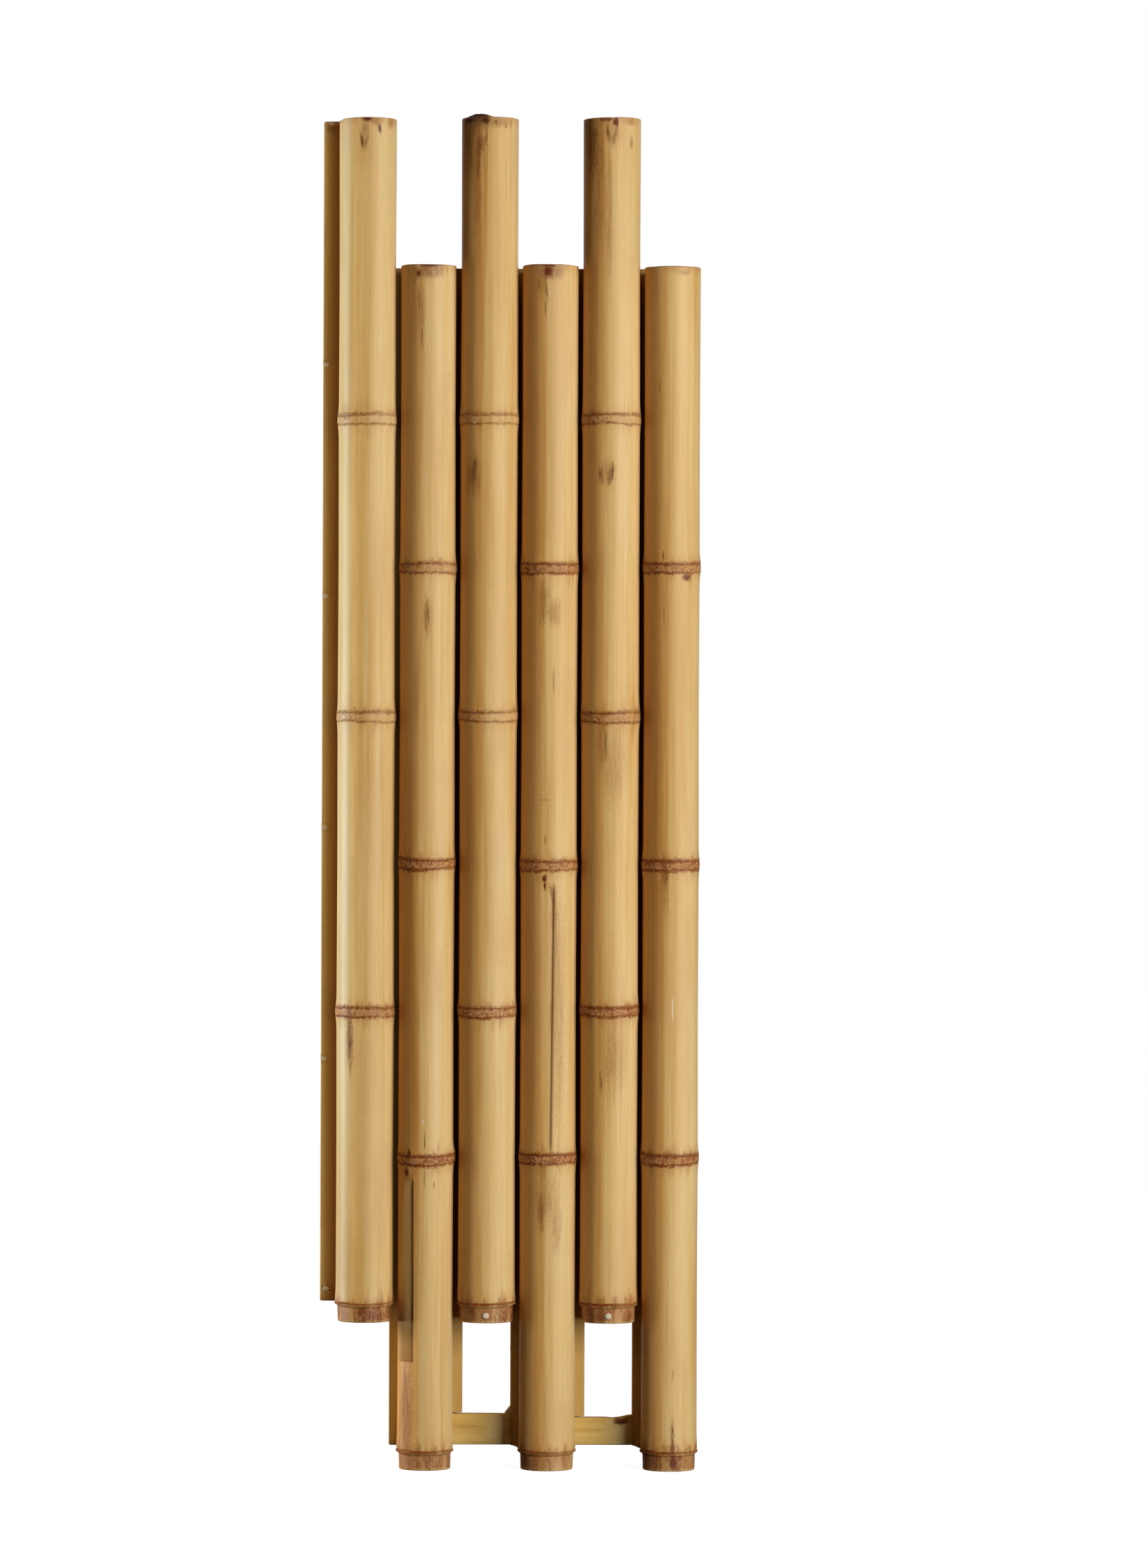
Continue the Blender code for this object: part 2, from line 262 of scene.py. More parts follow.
# What the skin's flanks are multiplied by: painted shade on the left one, painted light on the right one, and
# on the first pipe a painted highlight at its left edge with a warmer band of painted shade beside it.
PAINTED_SHADE_FLANK = (0.87, 0.69, 0.50)
PAINTED_LIGHT_FLANK = (0.97, 1.02, 1.13)
PAINTED_HIGHLIGHT_FLANK = (0.85, 0.98, 1.12)
PAINTED_SHADE_WARM = (1.03, 0.98, 0.86)
SLAT_LIGHT = (0.74, 0.470, 0.140)
SLAT_MID = (0.67, 0.405, 0.105)
SLAT_DEEP = (0.54, 0.300, 0.065)
RAIL_LIGHT = (0.90, 0.620, 0.190)
RAIL_MID = (0.84, 0.550, 0.145)
RAIL_DEEP = (0.72, 0.430, 0.095)
# Painted shadow of the first pipe on the slat beside it.
PAINTED_SHADOW_BROWN = (0.26, 0.105, 0.028)
# Painted light on the rails' right ends, which lie in the shadow of the pipes beside them.
RAIL_PAINTED_LIGHT = (0.98, 0.780, 0.360)
CUT_PALE = (0.62, 0.44, 0.24)
CUT_DARK = (0.30, 0.17, 0.075)
STAIN_RED = (0.170, 0.036, 0.007)
# Brown for streaks and stains, and for the painted shade beside the slats' ridges.
STREAK_AND_SHADE_BROWN = (0.36, 0.135, 0.022)
# Painted shade along the grooves' sharp edges.
CREASE_PAINTED_SHADE = (0.24, 0.085, 0.016)
STREAK_DARK = (0.200, 0.062, 0.010)
LINE_RED = (0.235, 0.052, 0.006)
BAND_TAN = (0.58, 0.245, 0.066)
BLOOM = (0.90, 0.640, 0.340)
RIM_TAN = (0.56, 0.270, 0.095)
PATCH_RED = (0.30, 0.095, 0.018)
STUB_BROWN = (0.330, 0.098, 0.018)
# Painted shade inside the side grooves.
GROOVE_PAINTED_SHADE = (0.34, 0.150, 0.020)
CHAR = (0.060, 0.020, 0.007)
# Pale for nicks, and for the painted highlight on the slats' ridges.
PALE_NICK_AND_HIGHLIGHT = (0.90, 0.80, 0.62)


# Middle, half width and softness of those flanks, in millimetres round the skin.
LEFT_FLANK = (-11.8, 7.4, 4.8)
RIGHT_FLANK = (11.5, 5.0, 3.5)
BRIGHT_EDGE = (-11.8, 4.0, 4.6)
WARM_EDGE = (-3.8, 2.4, 2.6)
BORE_DEEP = (0.36, 0.23, 0.11)
BORE_LIGHT = (0.56, 0.39, 0.20)
BATTEN_COLOURS = ((0.64, 0.44, 0.21), (0.57, 0.36, 0.15), (0.45, 0.25, 0.09))
CORK_DEEP = (0.36, 0.205, 0.100)
CORK_LIGHT = (0.56, 0.365, 0.200)
CORK_SEAM = (0.20, 0.095, 0.040)
CORK_PIT = (0.11, 0.050, 0.022)
CORK_FLECK = (0.64, 0.45, 0.27)
# Peg wood, light and dark, and how dark its rim is: the peg seen on the first slat, the hidden ones and the
# ones in the stubs.
# The seen peg's wood is pale, and its extra paleness and faint rim are painted light that keeps its head
# bright in the slat's shade.
PEG_SEEN = ((0.95, 0.86, 0.68), (0.84, 0.70, 0.50), 0.05)
PEG_HIDDEN = ((0.74, 0.58, 0.36), (0.46, 0.31, 0.15), 0.45)
PEG_STUB = ((0.88, 0.76, 0.58), (0.66, 0.48, 0.30), 0.45)
# Roughness from the smoothest to the roughest fleck, and the full height of the grain in millimetres.
SKIN_ROUGHNESS = (0.36, 0.50)
PLANK_ROUGHNESS = (0.50, 0.66)
GRAIN_RELIEF = 0.06


# ---------------------------------------------------------------- meshes


def extent(node):
    """A CAD node's lowest and highest corner, in millimetres."""
    low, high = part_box(node)
    return np.array(low) / MM, np.array(high) / MM


def smooth(value, start, end):
    """0 before start, 1 after end, and a smooth rise between them. It falls where end is below start."""
    share = np.clip((value - start) / (end - start), 0.0, 1.0)
    return share * share * (3.0 - 2.0 * share)


def bell(value, centre, width):
    return np.exp(-(((value - centre) / width) ** 2))


def turn(angle):
    """An angle in degrees brought to -180 ... 180."""
    return (angle + 180.0) % 360.0 - 180.0


def wave(rng, angle, orders, size):
    """A gentle closed curve round a pipe, of the given number of waves, with seeded phases."""
    total = np.zeros_like(angle, dtype=float)
    for order in orders:
        phase = rng.uniform(0.0, 360.0)
        total += np.cos(np.radians(order * angle + phase)) * rng.uniform(0.5, 1.0) / math.sqrt(order)
    return total * size / math.sqrt(len(orders))


def stations(low, high, step, fine):
    """Positions from low to high at the step, and closer together in the fine ranges."""
    found = [np.linspace(low, high, max(2, int(round((high - low) / step)) + 1))]
    for start, end, fine_step in fine:
        found.append(np.arange(start, end + fine_step / 2.0, fine_step))
    places = np.unique(np.round(np.concatenate(found), 3))
    places = places[(places >= low) & (places <= high)]
    kept = [places[0]]
    for place in places[1:]:
        if place - kept[-1] > 0.08:
            kept.append(place)
    kept[-1] = high
    return np.array(kept)


def joined(x, y, z):
    """Points from their coordinates, each spread to the shape of all three."""
    return np.stack(np.broadcast_arrays(x, y, z), axis=-1)


def add_piece(name, data):
    piece = bpy.data.objects.new(name, data)
    bpy.context.scene.collection.objects.link(piece)
    return piece


def closed_grid(name, rings, first_pole, last_pole, values):
    """A closed mesh from rings of points that wind the same way, each end closed by a fan to its pole.

    values maps an attribute's name to one number for each ring point; a pole takes its ring's mean.
    """
    count, around, _ = rings.shape
    points = np.vstack([rings.reshape(-1, 3), [first_pole], [last_pole]]) * MM
    here = np.arange(around)
    after = (here + 1) % around
    rows = np.arange(count - 1)[:, None] * around
    quads = np.stack([rows + here, rows + after, rows + around + after, rows + around + here], axis=-1)
    faces = quads.reshape(-1, 4).tolist()
    first = count * around
    top = (count - 1) * around
    faces += [[first, b, a] for a, b in zip(here.tolist(), after.tolist())]
    faces += [[first + 1, top + a, top + b] for a, b in zip(here.tolist(), after.tolist())]
    mesh = bpy.data.meshes.new(name)
    mesh.from_pydata(points.tolist(), [], faces)
    for label, numbers in values.items():
        flat = np.append(numbers.reshape(-1), [numbers[0].mean(), numbers[-1].mean()])
        layer = mesh.attributes.new(label, "FLOAT", "POINT")
        layer.data.foreach_set("value", flat.astype(np.float32))
    mesh.shade_smooth()
    mesh.set_sharp_from_angle(angle=math.radians(50.0))
    mesh.update()
    return add_piece(name, mesh)


def hand_over(piece, node, material, body=MAIN_BODY):
    """Gives a finished piece its material, and says which CAD node it stands for and what it moves with."""
    piece.data.materials.clear()
    piece.data.materials.append(material)
    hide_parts(node)
    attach(piece, body)


# ---------------------------------------------------------------- pipes


def pipe_angles(number):
    """Angles of a pipe's columns: even ones, and a few more at a groove's sharp edge."""
    even = np.arange(PIPE_COLUMNS) * 360.0 / PIPE_COLUMNS - 180.0
    if number in GROOVES:
        low, high = sorted(GROOVES[number]["crease"])
        even = even[(even < low - 2.0) | (even > high + 1.6)]
        even = np.concatenate([even, np.arange(low - 1.8, high + 1.4, 0.4)])
    return np.sort(even)


def node_relief(offset, closing):
    """How far a node ring stands out of the skin at an offset above its plane."""
    if closing:
        above = 0.26 * np.exp(-((np.maximum(offset - 0.8, 0.0) / 4.0) ** 2)) * smooth(offset, -0.4, 0.3)
        return above + 0.30 * bell(offset, 0.1, 0.42) - 0.26 * bell(offset, 0.85, 0.24)
    relief = 0.42 * bell(offset, 0.0, 4.2)
    relief += 0.10 * smooth(offset, -2.3, -1.4) * smooth(offset, 2.6, 1.7)
    for proud, middle, width in RING_FOLDS:
        relief += proud * bell(offset, middle, width)
    return relief


def groove_depth(number, angle, height):
    """Depth of a pipe's side groove, and how near a point is to its sharp edge."""
    if number not in GROOVES:
        return np.zeros(np.broadcast(angle, height).shape), np.zeros(np.broadcast(angle, height).shape)
    groove = GROOVES[number]
    rise = np.clip((height - groove["low"]) / (groove["high"] - groove["low"]), 0.0, 1.0)
    sharp = groove["crease"][0] + (groove["crease"][1] - groove["crease"][0]) * rise
    shallow = groove["fade"][0] + (groove["fade"][1] - groove["fade"][0]) * rise**1.6
    across = (sharp - angle) / (sharp - shallow)
    inside = smooth(angle, sharp + 0.7, sharp - groove["wall"]) * np.clip(1.0 - across, 0.0, 1.0) ** 0.8
    inside = inside * smooth(across, 1.0, 0.8)
    ends = smooth(height, groove["low"] - groove["low_end"] / 2.0, groove["low"] + groove["low_end"] / 2.0)
    ends = ends * smooth(height, groove["high"], groove["high"] - groove["high_end"])
    crease = bell(angle, sharp - 0.4, groove["line"]) * ends
    if groove["low_end"] < 2.0:
        step = bell(height, groove["low"] + 0.1, 0.4) * inside
        crease = crease + 0.7 * step
    return groove["depth"] * inside * ends, np.clip(crease, 0.0, 1.0)


def skin(number, rng, angle, height):
    """A pipe's outside radius over a grid of angles and heights, with the values its material reads."""
    radius = PIPE_RADII[number] + wave(rng, angle, (2, 3), 0.09)
    radius = radius + 0.05 * np.sin(height / 61.0 + rng.uniform(0.0, 6.0))
    between = ((height - FIRST_NODE) % NODE_STEP) / NODE_STEP
    radius = radius - 0.10 * np.sin(math.pi * between) ** 2
    near = np.full(np.broadcast(angle, height).shape, np.inf)
    phase = np.zeros_like(near)
    stain = np.zeros_like(near)
    for k, plane in enumerate(NODE_HEIGHTS):
        middle = plane + RING_SHIFTS[number][k] + RING_RISES[number][k] * (1.0 - np.cos(np.radians(angle)))
        middle = middle + wave(rng, angle, (2, 3, 5, 8), 0.24)
        spread = 1.0 + wave(rng, angle, (1, 2, 4), 0.13)
        lift = 1.0 + wave(rng, angle, (1, 3), 0.25)
        offset = (height - middle) / spread
        radius = radius + node_relief(offset, k == 0) * lift
        closer = np.abs(offset) < near
        near = np.where(closer, np.abs(offset), near)
        phase = np.where(closer, k + offset / NODE_STEP, phase)
        stain = np.where(closer, RING_STAINS[number][k], stain)
    phase = np.minimum(phase, len(NODE_HEIGHTS) - 0.55)
    if number == BULGE["pipe"]:
        bulge = BULGE["proud"] * bell(turn(angle - BULGE["angle"]), 0.0, BULGE["spread"])
        radius = radius + bulge * bell(height, NODE_HEIGHTS[1] + BULGE["above"], BULGE["reach"])
    below = FIRST_NODE + RING_RISES[number][0] * (1.0 - np.cos(np.radians(angle))) - height
    stub = smooth(below, 0.2, 0.9)
    radius = radius - stub * (0.62 + 0.14 * smooth(below, 0.5, 6.0))
    depth, crease = groove_depth(number, angle, height)
    radius = radius - depth
    for centre, middle, half_width, half_height, proud in BUDS.get(number, []):
        arc = np.radians(angle - centre) * SKIN_RADIUS / half_width
        radius = radius + proud * np.exp(-(arc**2) - ((height - middle) / half_height) ** 2)
    behind = np.abs(turn(angle)) > 110.0
    radius = np.where(behind, np.minimum(radius, BACK_LIMIT), radius)
    return radius, phase, stain, crease, stub, depth


def pipe_section(number, length):
    """The stations of a pipe's half section, from its underside's middle round to the bottom of its bore.

    Each is (inner radius, share of the way out to the skin, height, part), with the part 0 for skin, 1 for a
    cut end and 2 for the bore.
    """
    fine = [(plane - 4.2, plane + 4.2, FINE_STEP) for plane in NODE_HEIGHTS]
    fine += [(plane - 8.0, plane + 8.0, 1.0) for plane in NODE_HEIGHTS]
    if number in GROOVES:
        low = GROOVES[number]["low"]
        high = GROOVES[number]["high"]
        fine += [(low - 1.0, low + 1.2, 0.2), (high - 6.0, high + 3.0, 0.5)]
    section = [(r, 0.0, SEPTUM_UNDERSIDE, 1) for r in (2.4, 4.8, RECESS_RADIUS - 0.4)]
    section += [(RECESS_RADIUS, 0.0, h, 1) for h in (SEPTUM_UNDERSIDE - 0.4, 3.0, 1.2, 0.3)]
    section += [(RECESS_RADIUS, f, 0.0, 1) for f in (0.07, 0.25, 0.5, 0.7)]
    round_off = 0.65
    width = SKIN_RADIUS - 0.8 - RECESS_RADIUS
    for t in np.linspace(0.0, 0.5 * math.pi, 6):
        inset = round_off * 0.8 * (1.0 - math.sin(t)) / width
        height = round_off * (1.0 - math.cos(t))
        section.append((RECESS_RADIUS, 1.0 - inset, height, 0.6 - 0.12 * 5.0 * t / 1.6))
    edge = 0.32
    heights = stations(round_off + 0.2, length - edge - 0.1, COARSE_STEP, fine)
    section += [(BORE_RADIUS, 1.0, h, 0) for h in heights]
    wall = SKIN_RADIUS - BORE_RADIUS
    for t in np.linspace(0.0, 0.5 * math.pi, 5):
        inset = edge * (1.0 - math.cos(t)) / wall
        section.append((BORE_RADIUS, 1.0 - inset, length - edge * (1.0 - math.sin(t)), 0.12 + 0.5 * t))
    section += [(BORE_RADIUS, f, length, 1) for f in (0.80, 0.68, 0.56, 0.44, 0.32, 0.20, 0.10)]
    section += [(BORE_RADIUS, 0.03, length - 0.08, 1.3), (BORE_RADIUS, 0.0, length - 0.3, 1.8)]
    bore_fine = [(plane - 2.4, plane + 2.4, 0.6) for plane in NODE_HEIGHTS[1:]]
    down = stations(SEPTUM_TOPSIDE + 0.6, length - 1.2, 6.0, bore_fine)[::-1]
    section += [(BORE_RADIUS, 0.0, h, 2) for h in down]
    section += [(r, 0.0, SEPTUM_TOPSIDE, 2) for r in (BORE_RADIUS - 0.5, 5.0, 2.5)]
    return section


def make_pipe(number):
    low, high = extent(f"pipe_{number}")
    rng = np.random.default_rng(700 + number)
    centre = (low + high) / 2.0
    foot = low[2]
    length = high[2] - foot
    angle = pipe_angles(number)[None, :]
    section = np.array(pipe_section(number, length))
    inner = section[:, 0:1]
    share = section[:, 1:2]
    height = section[:, 2:3]
    part = section[:, 3:4]
    outside, phase, stain, crease, stub, hollow = skin(number, rng, angle, height)
    in_bore = (share == 0.0) & (part >= 1.8) & (inner == BORE_RADIUS)
    remnant = np.zeros_like(outside)
    for plane in NODE_HEIGHTS[1:]:
        ragged = 1.0 + wave(rng, angle, (3, 7, 11), 0.5)
        remnant += 0.13 * np.clip(ragged, 0.2, 1.2) * bell(height, plane, 1.1)
    radius = inner + share * (outside - inner) - np.where(in_bore, remnant, 0.0)
    radius = np.where(in_bore, np.maximum(radius, CLEAR_RADIUS), radius)
    sawn = wave(rng, angle, (1, 2, 5), 0.16) + wave(rng, angle, (9, 14), 0.05) - RIM_DROPS[number]
    if number == RIM_DIP["pipe"]:
        sawn = sawn - RIM_DIP["depth"] * bell(turn(angle - RIM_DIP["angle"]), 0.0, RIM_DIP["spread"])
    level = height + sawn * smooth(height, length - 4.0, length) * (part < 1.6)
    if number == BURR["pipe"]:
        lump = np.exp(-((turn(angle - BURR["angle"]) / BURR["spread"]) ** 4))
        lump = lump * bell(radius, BURR["radius"], BURR["width"])
        ragged = 1.0 + wave(rng, angle, (13, 21, 34), 0.22)
        top = (height > length - 0.5) & (part < 1.6)
        level = level + BURR["height"] * lump * ragged * top
        burnt = np.clip(1.6 * lump * top, 0.0, 1.0)
    else:
        burnt = np.zeros_like(outside)
    around = np.radians(angle)
    rings = joined(centre[0] + radius * np.sin(around), centre[1] - radius * np.cos(around), foot + level)
    full = np.ones_like(radius)
    values = {
        "ring_phase": phase,
        "ring_stain": stain,
        "part": part * full,
        "crease": crease * (share == 1.0),
        "hollow": np.clip(2.0 * hollow, 0.0, 1.0) * full,
        "stub": stub * full,
        "burnt": burnt,
    }
    first_pole = (centre[0], centre[1], foot + SEPTUM_UNDERSIDE)
    last_pole = (centre[0], centre[1], foot + SEPTUM_TOPSIDE)
    return closed_grid(f"bamboo_pipe_{number}", rings, first_pole, last_pole, values)


# ---------------------------------------------------------------- planks, pegs and plugs


def plank(name, along, places, low_edge, high_edge, front, back, seed, options):
    """A split-bamboo plank: rounded oblong rings set along X or Z, from its lower end to its upper one.

    low_edge and high_edge give the plank's side edges at each place. options: edge and end radius, how far
    the front crowns and how suddenly, ridges as places and heights, the share across from which they show in
    front, a dipped lower corner, the columns per side, and how rough the hand-split faces are.
    """
    rng = np.random.default_rng(seed)
    edge = options.get("edge", 0.5)
    end = options.get("end", 0.5)
    crown = options.get("crown", 0.0)
    rough = options.get("rough", 0.05)
    per_corner = 4
    per_side = options.get("per_side", 14)
    per_thick = 3
    low_edge = low_edge[:, None]
    high_edge = high_edge[:, None]
    from_end = np.minimum(places - places[0], places[-1] - places)[:, None]
    inset = end * (1.0 - np.sqrt(np.clip(1.0 - (1.0 - np.clip(from_end / end, 0.0, 1.0)) ** 2, 0.0, 1.0)))
    lo = low_edge + inset
    hi = high_edge - inset
    y0 = front + inset
    y1 = back - inset
    wide = hi - lo
    columns = []

    def corner(cx, cy, start):
        for t in np.linspace(start, start + 0.5 * math.pi, per_corner):
            columns.append((cx + edge * np.cos(t), cy + edge * np.sin(t)))

    def side(ax, ay, bx, by, count):
        for t in np.linspace(0.0, 1.0, count + 2)[1:-1]:
            columns.append((ax + (bx - ax) * t, ay + (by - ay) * t))

    corner(lo + edge, y0 + edge, math.pi)
    side(lo + edge, y0, hi - edge, y0, per_side)
    corner(hi - edge, y0 + edge, 1.5 * math.pi)
    side(hi, y0 + edge, hi, y1 - edge, per_thick)
    corner(hi - edge, y1 - edge, 0.0)
    side(hi - edge, y1, lo + edge, y1, per_side)
    corner(lo + edge, y1 - edge, 0.5 * math.pi)
    side(lo, y1 - edge, lo, y0 + edge, per_thick)
    across = np.concatenate([c[0] for c in columns], axis=1)
    depth = np.concatenate([c[1] for c in columns], axis=1)
    share = np.clip((across - lo) / wide, 0.0, 1.0)
    facing = np.where(depth < (front + back) / 2.0, -1.0, 1.0)
    phases = rng.uniform(0.0, 6.28, 6)
    station = places[:, None]
    reach = options.get("ridge_reach", -0.2)
    drift = np.sin(station / 37.0 + phases[0] + 2.0 * share) + np.sin(station / 13.0 + phases[1])
    drift = drift + 0.6 * np.sin(share * 9.0 + phases[2] + station / 90.0)
    depth = depth - facing * rough * (0.5 + 0.25 * drift)
    ridge = np.full(across.shape, 60.0)
    for place, proud in options.get("ridges", ()):
        middle = place + 0.5 * np.sin(share * 4.0 + phases[3])
        offset = station - middle
        ridge = np.minimum(np.abs(offset) + 60.0 * (facing < 0.0) * smooth(share, reach, reach + 0.1), ridge)
        bump = proud * (bell(offset, 0.0, 1.3) - 0.5 * bell(offset, -1.4, 0.4))
        depth = depth + np.where(facing < 0.0, -0.5 * bump, 0.25 * bump)
        swell = 0.6 * bump * (2.0 * share - 1.0) * (np.abs(2.0 * share - 1.0) > 0.8)
        across = across + np.clip(swell, -0.2, 0.2)
    depth = depth + crown * np.abs(2.0 * share - 1.0) ** options.get("crown_power", 2.0) * (facing < 0.0)
    run = station + 0.0 * across
    if "dip" in options:
        start, deep = options["dip"]
        run = run - deep * smooth(across, start, start + 1.8) * smooth(run, places[0] + 5.0, places[0])
    if along == "Z":
        rings = joined(across, depth, run)
    else:
        rings = joined(run, depth, across)[:, ::-1]
    first_pole = rings[0].mean(axis=0)
    last_pole = rings[-1].mean(axis=0)
    close = np.minimum(places - places[0], places[-1] - places)[:, None] + 0.0 * across
    values = {"ridge_mm": ridge, "end_mm": close}
    if along == "X":
        values = {label: numbers[:, ::-1] for label, numbers in values.items()}
    return closed_grid(name, rings, first_pole, last_pole, values)


def drill(piece, pegs, clearance):
    """Cuts a round hole along Y through a piece for each CAD peg."""
    depsgraph = bpy.context.evaluated_depsgraph_get()
    cutters = []
    for peg in pegs:
        low, high = extent(peg)
        centre = (low + high) / 2.0
        radius = (high[0] - low[0]) / 2.0 + clearance
        turns = np.linspace(0.0, 2.0 * math.pi, 24, endpoint=False)
        ends = np.array([low[1] - 4.0, high[1] + 4.0])
        rings = joined(centre[0] + radius * np.cos(turns), ends[:, None], centre[2] - radius * np.sin(turns))
        first = (centre[0], ends[0], centre[2])
        last = (centre[0], ends[1], centre[2])
        cutter = closed_grid("peg_cutter", rings, first, last, {})
        cut = piece.modifiers.new("hole", "BOOLEAN")
        cut.operation = "DIFFERENCE"
        cut.solver = "EXACT"
        cut.object = cutter
        cutters.append(cutter)
    depsgraph.update()
    solid = bpy.data.meshes.new_from_object(piece.evaluated_get(depsgraph))
    piece.modifiers.clear()
    piece.data = solid
    for cutter in cutters:
        bpy.data.objects.remove(cutter)


def round_peg(name, node, seed, head, waist, dome):
    """A whittled round peg along Y. head is how far its front stands proud of the CAD peg."""
    rng = np.random.default_rng(seed)
    low, high = extent(node)
    centre = (low + high) / 2.0
    radius = (high[0] - low[0]) / 2.0
    turns = np.linspace(0.0, 360.0, 28, endpoint=False)
    shape = 1.0 + wave(rng, turns, (2, 3, 5), 0.05)
    section = [(0.35, -dome), (0.62, -0.8 * dome), (0.85, -0.45 * dome), (0.97, -0.12 * dome), (1.0, 0.15)]
    total = high[1] - low[1] + head
    rows = section + [(waist, 0.15 + t * (total - 0.4)) for t in np.linspace(0.05, 0.95, 7)]
    rows += [(1.0, total - 0.25), (0.94, total - 0.05), (0.6, total), (0.3, total)]
    rows = np.array(rows)
    spread = rows[:, 0:1] * radius * shape[None, :]
    around = np.radians(turns)[None, :]
    front = low[1] - head
    x = centre[0] + spread * np.cos(around)
    z = centre[2] - spread * np.sin(around)
    rings = joined(x, front + rows[:, 1:2], z)
    first_pole = (centre[0], front - 1.05 * dome, centre[2])
    last_pole = (centre[0], front + total, centre[2])
    reach = rows[:, 0:1] * np.ones_like(spread)
    return closed_grid(name, rings, first_pole, last_pole, {"reach": reach})


def cork_plug(name, node, seed):
    """A short cork with eased rims and pits in its sides and ends."""
    rng = np.random.default_rng(seed)
    low, high = extent(node)
    centre = (low + high) / 2.0
    radius = (high[0] - low[0]) / 2.0
    turns = np.linspace(0.0, 360.0, 96, endpoint=False)
    length = high[2] - low[2]
    rows = [(r, 0.0) for r in np.linspace(0.12, 0.90, 9)]
    rows += [(0.95, 0.12), (0.985, 0.4), (1.0, 0.8)]
    rows += [(1.0, h) for h in np.linspace(1.2, length - 1.2, 22)]
    rows += [(1.0, length - 0.8), (0.985, length - 0.4), (0.95, length - 0.12)]
    rows += [(r, length) for r in np.linspace(0.90, 0.12, 9)]
    rows = np.array(rows)
    height = rows[:, 1:2] * np.ones((1, turns.size))
    spread = rows[:, 0:1] * radius * np.ones((1, turns.size))
    pits = np.zeros_like(height)
    for _ in range(46):
        at_angle = rng.uniform(-180.0, 180.0)
        at_height = rng.uniform(0.5, length - 0.5)
        size = rng.uniform(0.3, 0.9)
        arc = np.radians(turn(turns[None, :] - at_angle)) * radius
        up = (height - at_height) / (1.6 * size)
        pits += rng.uniform(0.15, 0.5) * np.exp(-((arc / size) ** 2) - up**2)
    side = (rows[:, 0:1] > 0.98) * 1.0
    spread = spread - np.clip(pits, 0.0, 0.6) * side
    around = np.radians(turns)[None, :]
    x = centre[0] + spread * np.sin(around)
    y = centre[1] - spread * np.cos(around)
    dents = np.zeros_like(height)
    for _ in range(26):
        at = rng.uniform(-0.8, 0.8, 2) * radius
        size = rng.uniform(0.25, 0.7)
        away = (x - centre[0] - at[0]) ** 2 + (y - centre[1] - at[1]) ** 2
        dents += rng.uniform(0.1, 0.35) * np.exp(-away / size**2)
    cap = np.where(height < 0.5, 1.0, np.where(height > length - 0.5, -1.0, 0.0))
    z = low[2] + height + np.clip(dents, 0.0, 0.4) * cap * (rows[:, 0:1] < 0.93)
    rings = joined(x, y, z)
    first_pole = (centre[0], centre[1], low[2] + 0.02)
    last_pole = (centre[0], centre[1], high[2] - 0.02)
    return closed_grid(name, rings, first_pole, last_pole, {"pit": np.clip(pits + dents, 0.0, 1.0)})


# ---------------------------------------------------------------- materials


